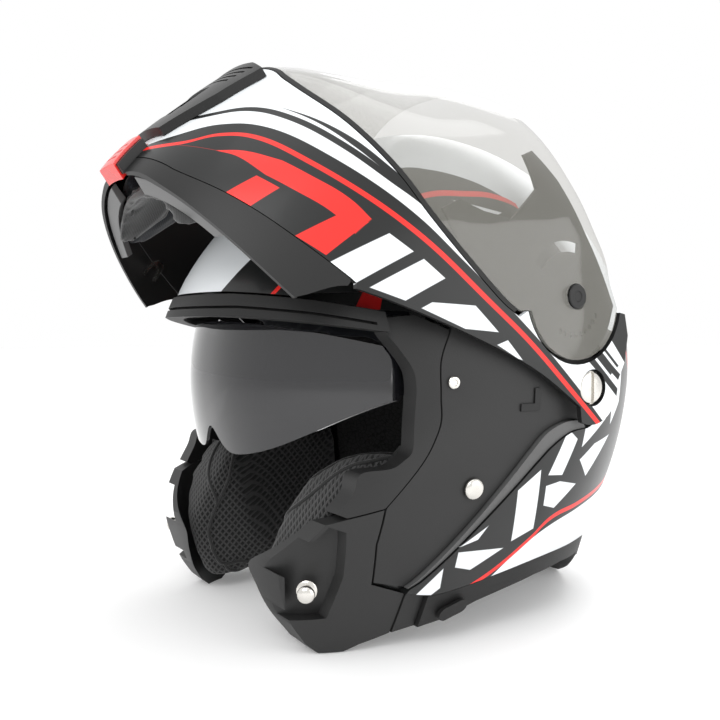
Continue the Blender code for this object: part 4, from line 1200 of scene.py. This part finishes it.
def apply_modifiers(obj):
    graph = bpy.context.evaluated_depsgraph_get()
    graph.update()
    mesh = bpy.data.meshes.new_from_object(obj.evaluated_get(graph))
    obj.modifiers.clear()
    obj.data = mesh


def points_of(obj):
    co = np.empty(len(obj.data.vertices) * 3)
    obj.data.vertices.foreach_get("co", co)
    return co.reshape(-1, 3)


def move_points(obj, points):
    obj.data.vertices.foreach_set("co", points.astype(np.float32).ravel())
    obj.data.update()


CLOTH_STEPS = 20


def blow_up(pad, pressure):
    """A short run of cloth under pressure with no gravity."""
    scene = bpy.context.scene
    cloth = pad.modifiers.new("cover", "CLOTH")
    cloth.settings.use_pressure = True
    cloth.settings.uniform_pressure_force = pressure
    cloth.settings.effector_weights.gravity = 0.0
    cloth.settings.tension_stiffness = 25
    cloth.settings.compression_stiffness = 25
    cloth.settings.quality = 4
    cloth.point_cache.frame_start = 1
    cloth.point_cache.frame_end = CLOTH_STEPS
    for step in range(1, CLOTH_STEPS + 1):
        scene.frame_set(step)
    apply_modifiers(pad)
    scene.frame_set(1)


def side_place(y, z, off):
    """Place on the wearer's left, in millimetres, on a wall of the shell at this point of the side view."""
    width, front, back, power = (float(v) for v in shell_section(z, off))
    reach, bend = (front, power) if y < MIDDLE_Y else (back, 2.09)
    return width * max(0.0, 1 - (abs(y - MIDDLE_Y) / reach) ** bend) ** (1 / bend), y, z


def piped(pad, path, name, body, closed_bar=False, thick=1.1):
    """Bead of piping along a path, laid on the nearest line of the finished pad."""
    surface = BVHTree.FromObject(pad, bpy.context.evaluated_depsgraph_get())
    line = []
    for point in path:
        near, normal, _, _ = surface.find_nearest((raised if closed_bar
                                                   else to_frame) @ (Vector(point) * MM))
        line.append(near + normal * 0.4 * MM)
    for _ in range(3):
        line[1:-1] = [(a + 2 * b + c) / 4 for a, b, c in zip(line, line[1:], line[2:])]
    bead = bpy.data.curves.new(name, "CURVE")
    bead.dimensions = "3D"
    bead.bevel_depth = thick * MM
    bead.bevel_resolution = 3
    spline = bead.splines.new("POLY")
    spline.points.add(len(line) - 1)
    for place, point in zip(line, spline.points):
        point.co = (*place, 1.0)
    bead.use_fill_caps = True
    bead.materials.append(PIPING)
    obj = bpy.data.objects.new(name, bead)
    bpy.context.collection.objects.link(obj)
    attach(obj, body)
    print("piping", name, "through", len(line), "points")


print("pads are", "blown up by the cloth solver")

# %% Cheek pads
def cheek_solid():
    pad_edge = [(-112, 56), (-114.5, 43), (-110.5, 27), (-102, 14.5), (-90, 11), (-60, 15.5),
                (-30, 21.5), (-2, 31),
                (8.5, 37.5), (8.5, 98), (-2, 105), (-60, 106), (-75, 103), (-90, 89), (-102, 73.5)]
    pocket = [(-58, 141), (31, 141), (31, 18), (-10, 18), (-42, 9), (-79, 5), (-100, 26), (-103, 51),
              (-92, 77.5),
              (-73.5, 104)]
    solid = cut(shell_wall(-17.0, -50.0), pad_edge, 46, FAR)
    return combine(solid, cut(shell_wall(0.0, -31.0), pocket, 20, FAR), "DIFFERENCE")


cheek = cheek_solid()
other_cheek = mirrored(cheek)
cheek_left = stuffed("cheek_pad_cover_l", cheek, "helmet_shell", PAD_MESH, "cheek_pad_l", swell=2.5)
cheek_right = stuffed("cheek_pad_cover_r", other_cheek, "helmet_shell", PAD_MESH, "cheek_pad_r",
                      swell=2.5)

# %% Piping on the cheek pads
PIPING_SIDE = [(4, 99), (-20, 103), (-45, 104), (-66, 103), (-80, 97), (-93, 84), (-103, 70),
               (-110, 55), (-111, 42), (-107, 29),
               (-100, 18), (-88, 14), (-62, 18)]
for depth, label in ((-33.5, "outer"), (-48.0, "inner")):
    seam = [side_place(y, z, depth) for y, z in flow(PIPING_SIDE, 8)]
    piped(cheek_left, seam, "cheek_piping_" + label + "_l", "helmet_shell")
    piped(cheek_right, [(-x, y, z) for x, y, z in seam], "cheek_piping_" + label + "_r", "helmet_shell")

# %% Crown pad and neck roll
crown_edge = [(-93, 189), (-58, 171), (108, 153), (FAR, 153), (FAR, 400), (-FAR, 400), (-FAR, 189)]
stuffed("crown_pad_cover", cut(shell_wall(-41.5, -46.0), crown_edge), "helmet_shell", LINING_KNIT,
        "crown_pad", swell=1.5,
        voxel=4.0, smoothing=3)
roll_edge = [(18, 38), (50, 40), (75, 39), (98, 30), (111, 17), (120, 10), (180, 10), (180, 38),
             (60, 47), (18, 53)]
stuffed("neck_roll_cover", cut(shell_wall(-11.5, -32.5), roll_edge), "helmet_shell", LINING_KNIT,
        "neck_roll", swell=2.5)

# %% Chin foam and breath guard
foam_edge = [(-FAR, 35), (-131, 35), (-127, 45), (-125, 89), (-131, 97), (-FAR, 97)]
chin_pad = cut(bar_wall(-BAR_WALL - 2.2, -13.2), foam_edge)
chin_pad = pierce(chin_pad, [(-18, 20), (18, 20), (18, 53), (-18, 53)], *AHEAD)
stuffed("chin_foam_cover", chin_pad, "chin_bar", LINING_KNIT, "chin_foam", True, swell=1.5, voxel=4.0,
        smoothing=3)
guard_edge = [(-FAR, 31), (-151, 27), (-139, 21.5), (-133.5, 34), (-133.5, 60), (-141, 73), (-FAR, 75)]
guard = stuffed("breath_guard_cover", cut(bar_wall(-15.8, -19.2), guard_edge), "chin_bar", GUARD_FELT,
                "breath_guard", True,
                swell=1.2, voxel=2.6, smoothing=2)
for height, label in ((73.0, "top"), (33.0, "bottom")):
    turns = np.radians(np.linspace(60, 120, 61))
    xs, ys = round_point(turns, bar_section(height, -17.5))
    piped(guard, [(x, y, height) for x, y in zip(xs, ys)], "guard_piping_" + label, "chin_bar", True, 0.9)

# %% [markdown]
# ## Chin strap
# Two woven straps meet in a quick-release buckle under the chin. Webbing is thin and flat, so it is
# modelled
# directly, with a rolled edge, and bends where it leaves the pads.

# %% Straps and buckle
STRAP = [(52, 46), (50, 40), (42, 28), (34, 21.5), (18, 17.6), (18, 15.2), (34.8, 19), (44, 25.6),
         (52.4, 39), (54, 45)]
upper_side = flow(STRAP[:5], 6)
under_side = flow(STRAP[5:], 6)
strap = prism(upper_side + under_side, -38, -16, "Y")
finish_pair(strap, "strap", "helmet_shell", WEBBING, edge=0.6)
plate = [(-17.4, 14.4), (17.4, 14.4), (17.4, 17.4), (9, 18.2), (-9, 18.2), (-17.4, 17.4)]
finish_piece(prism(plate, -40, -14, "Y"), "buckle_plate", "helmet_shell", MECHANISM_BLACK,
             ("buckle_body",), edge=0.7)
tongue = [(-6, 18.6), (12, 18.6), (13, 19.6), (12, 20.6), (-6, 20.6)]
finish_piece(prism(tongue, -34, -20, "Y"), "buckle_tongue", "buckle_lever", BUTTON_RED,
             ("buckle_lever",), edge=0.4)
slider_edge = arc((-27, 25.5), 4.0, -80, 100) + arc((-36, 22.5), 4.0, 100, 280)
slider = side_wall(slider_edge, 3.4, 0.9, 10)
finish_piece(slider, "sun_visor_thumb", "sun_visor_slider", RUBBER_BLACK, ("sun_visor_slider",), edge=0.8)

# %% [markdown]
# ## Floor, light and camera
# A pale floor and broad soft lights suit a glossy helmet: large lamps give long soft highlights that
# show its form.

# %% Floor and world
def pale_floor():
    recipe = Recipe("pale_floor", Roughness=0.85, Emission_Color=gray(1.0), Emission_Strength=0.16)
    recipe.give(Base_Color=recipe.mix(recipe.noise(3.0), gray(0.86), gray(0.88)))
    bpy.ops.mesh.primitive_plane_add(size=14, location=(0, 0, -0.0005))
    plane = bpy.context.object
    plane.name = "floor"
    plane.data.materials.append(recipe.material)


pale_floor()
world = bpy.data.worlds.new("studio")
bpy.context.scene.world = world
world.use_nodes = True
world.node_tree.nodes["Background"].inputs["Color"].default_value = (1.0, 1.0, 1.0, 1.0)
world.node_tree.nodes["Background"].inputs["Strength"].default_value = 1.0
bpy.context.scene.view_settings.view_transform = "Standard"


# %% Lamps
def soft_lamp(name, place, aim, width, height, power):
    lamp = bpy.data.lights.new(name, "AREA")
    lamp.shape = "RECTANGLE"
    lamp.size = width
    lamp.size_y = height
    lamp.energy = power
    holder = bpy.data.objects.new(name, lamp)
    bpy.context.collection.objects.link(holder)
    holder.location = place
    holder.rotation_euler = (Vector(aim) - Vector(place)).to_track_quat("-Z", "Y").to_euler()


middle = Vector((0, 0, 0.15))
soft_lamp("key_lamp", (0.9, -1.1, 1.3), middle, 1.0, 1.0, 9)
soft_lamp("top_lamp", (0.1, 0.1, 1.6), middle, 1.4, 1.2, 5)
soft_lamp("fill_lamp", (1.3, 0.6, 0.5), middle, 1.2, 0.9, 5)
soft_lamp("rear_lamp", (-0.9, 1.2, 1.0), middle, 1.0, 0.8, 4)


# %% Camera
CAMERA_PLACE = (0.447, -0.30015, 0.1645)
CAMERA_TURN = 57.1
CAMERA_TILT = 2.08
CAMERA_LENS = 42.6


def aim_camera(place, turn, tilt, lens):
    """Camera at place, turned this many degrees to its left from looking along +Y, and tilted down."""
    camera = bpy.data.cameras.new("camera")
    camera.lens = lens
    camera.sensor_width = 36.0
    holder = bpy.data.objects.new("camera", camera)
    bpy.context.collection.objects.link(holder)
    holder.location = place
    holder.rotation_euler = (math.radians(90 - tilt), 0, math.radians(turn))
    bpy.context.scene.camera = holder


aim_camera(CAMERA_PLACE, CAMERA_TURN, CAMERA_TILT, CAMERA_LENS)
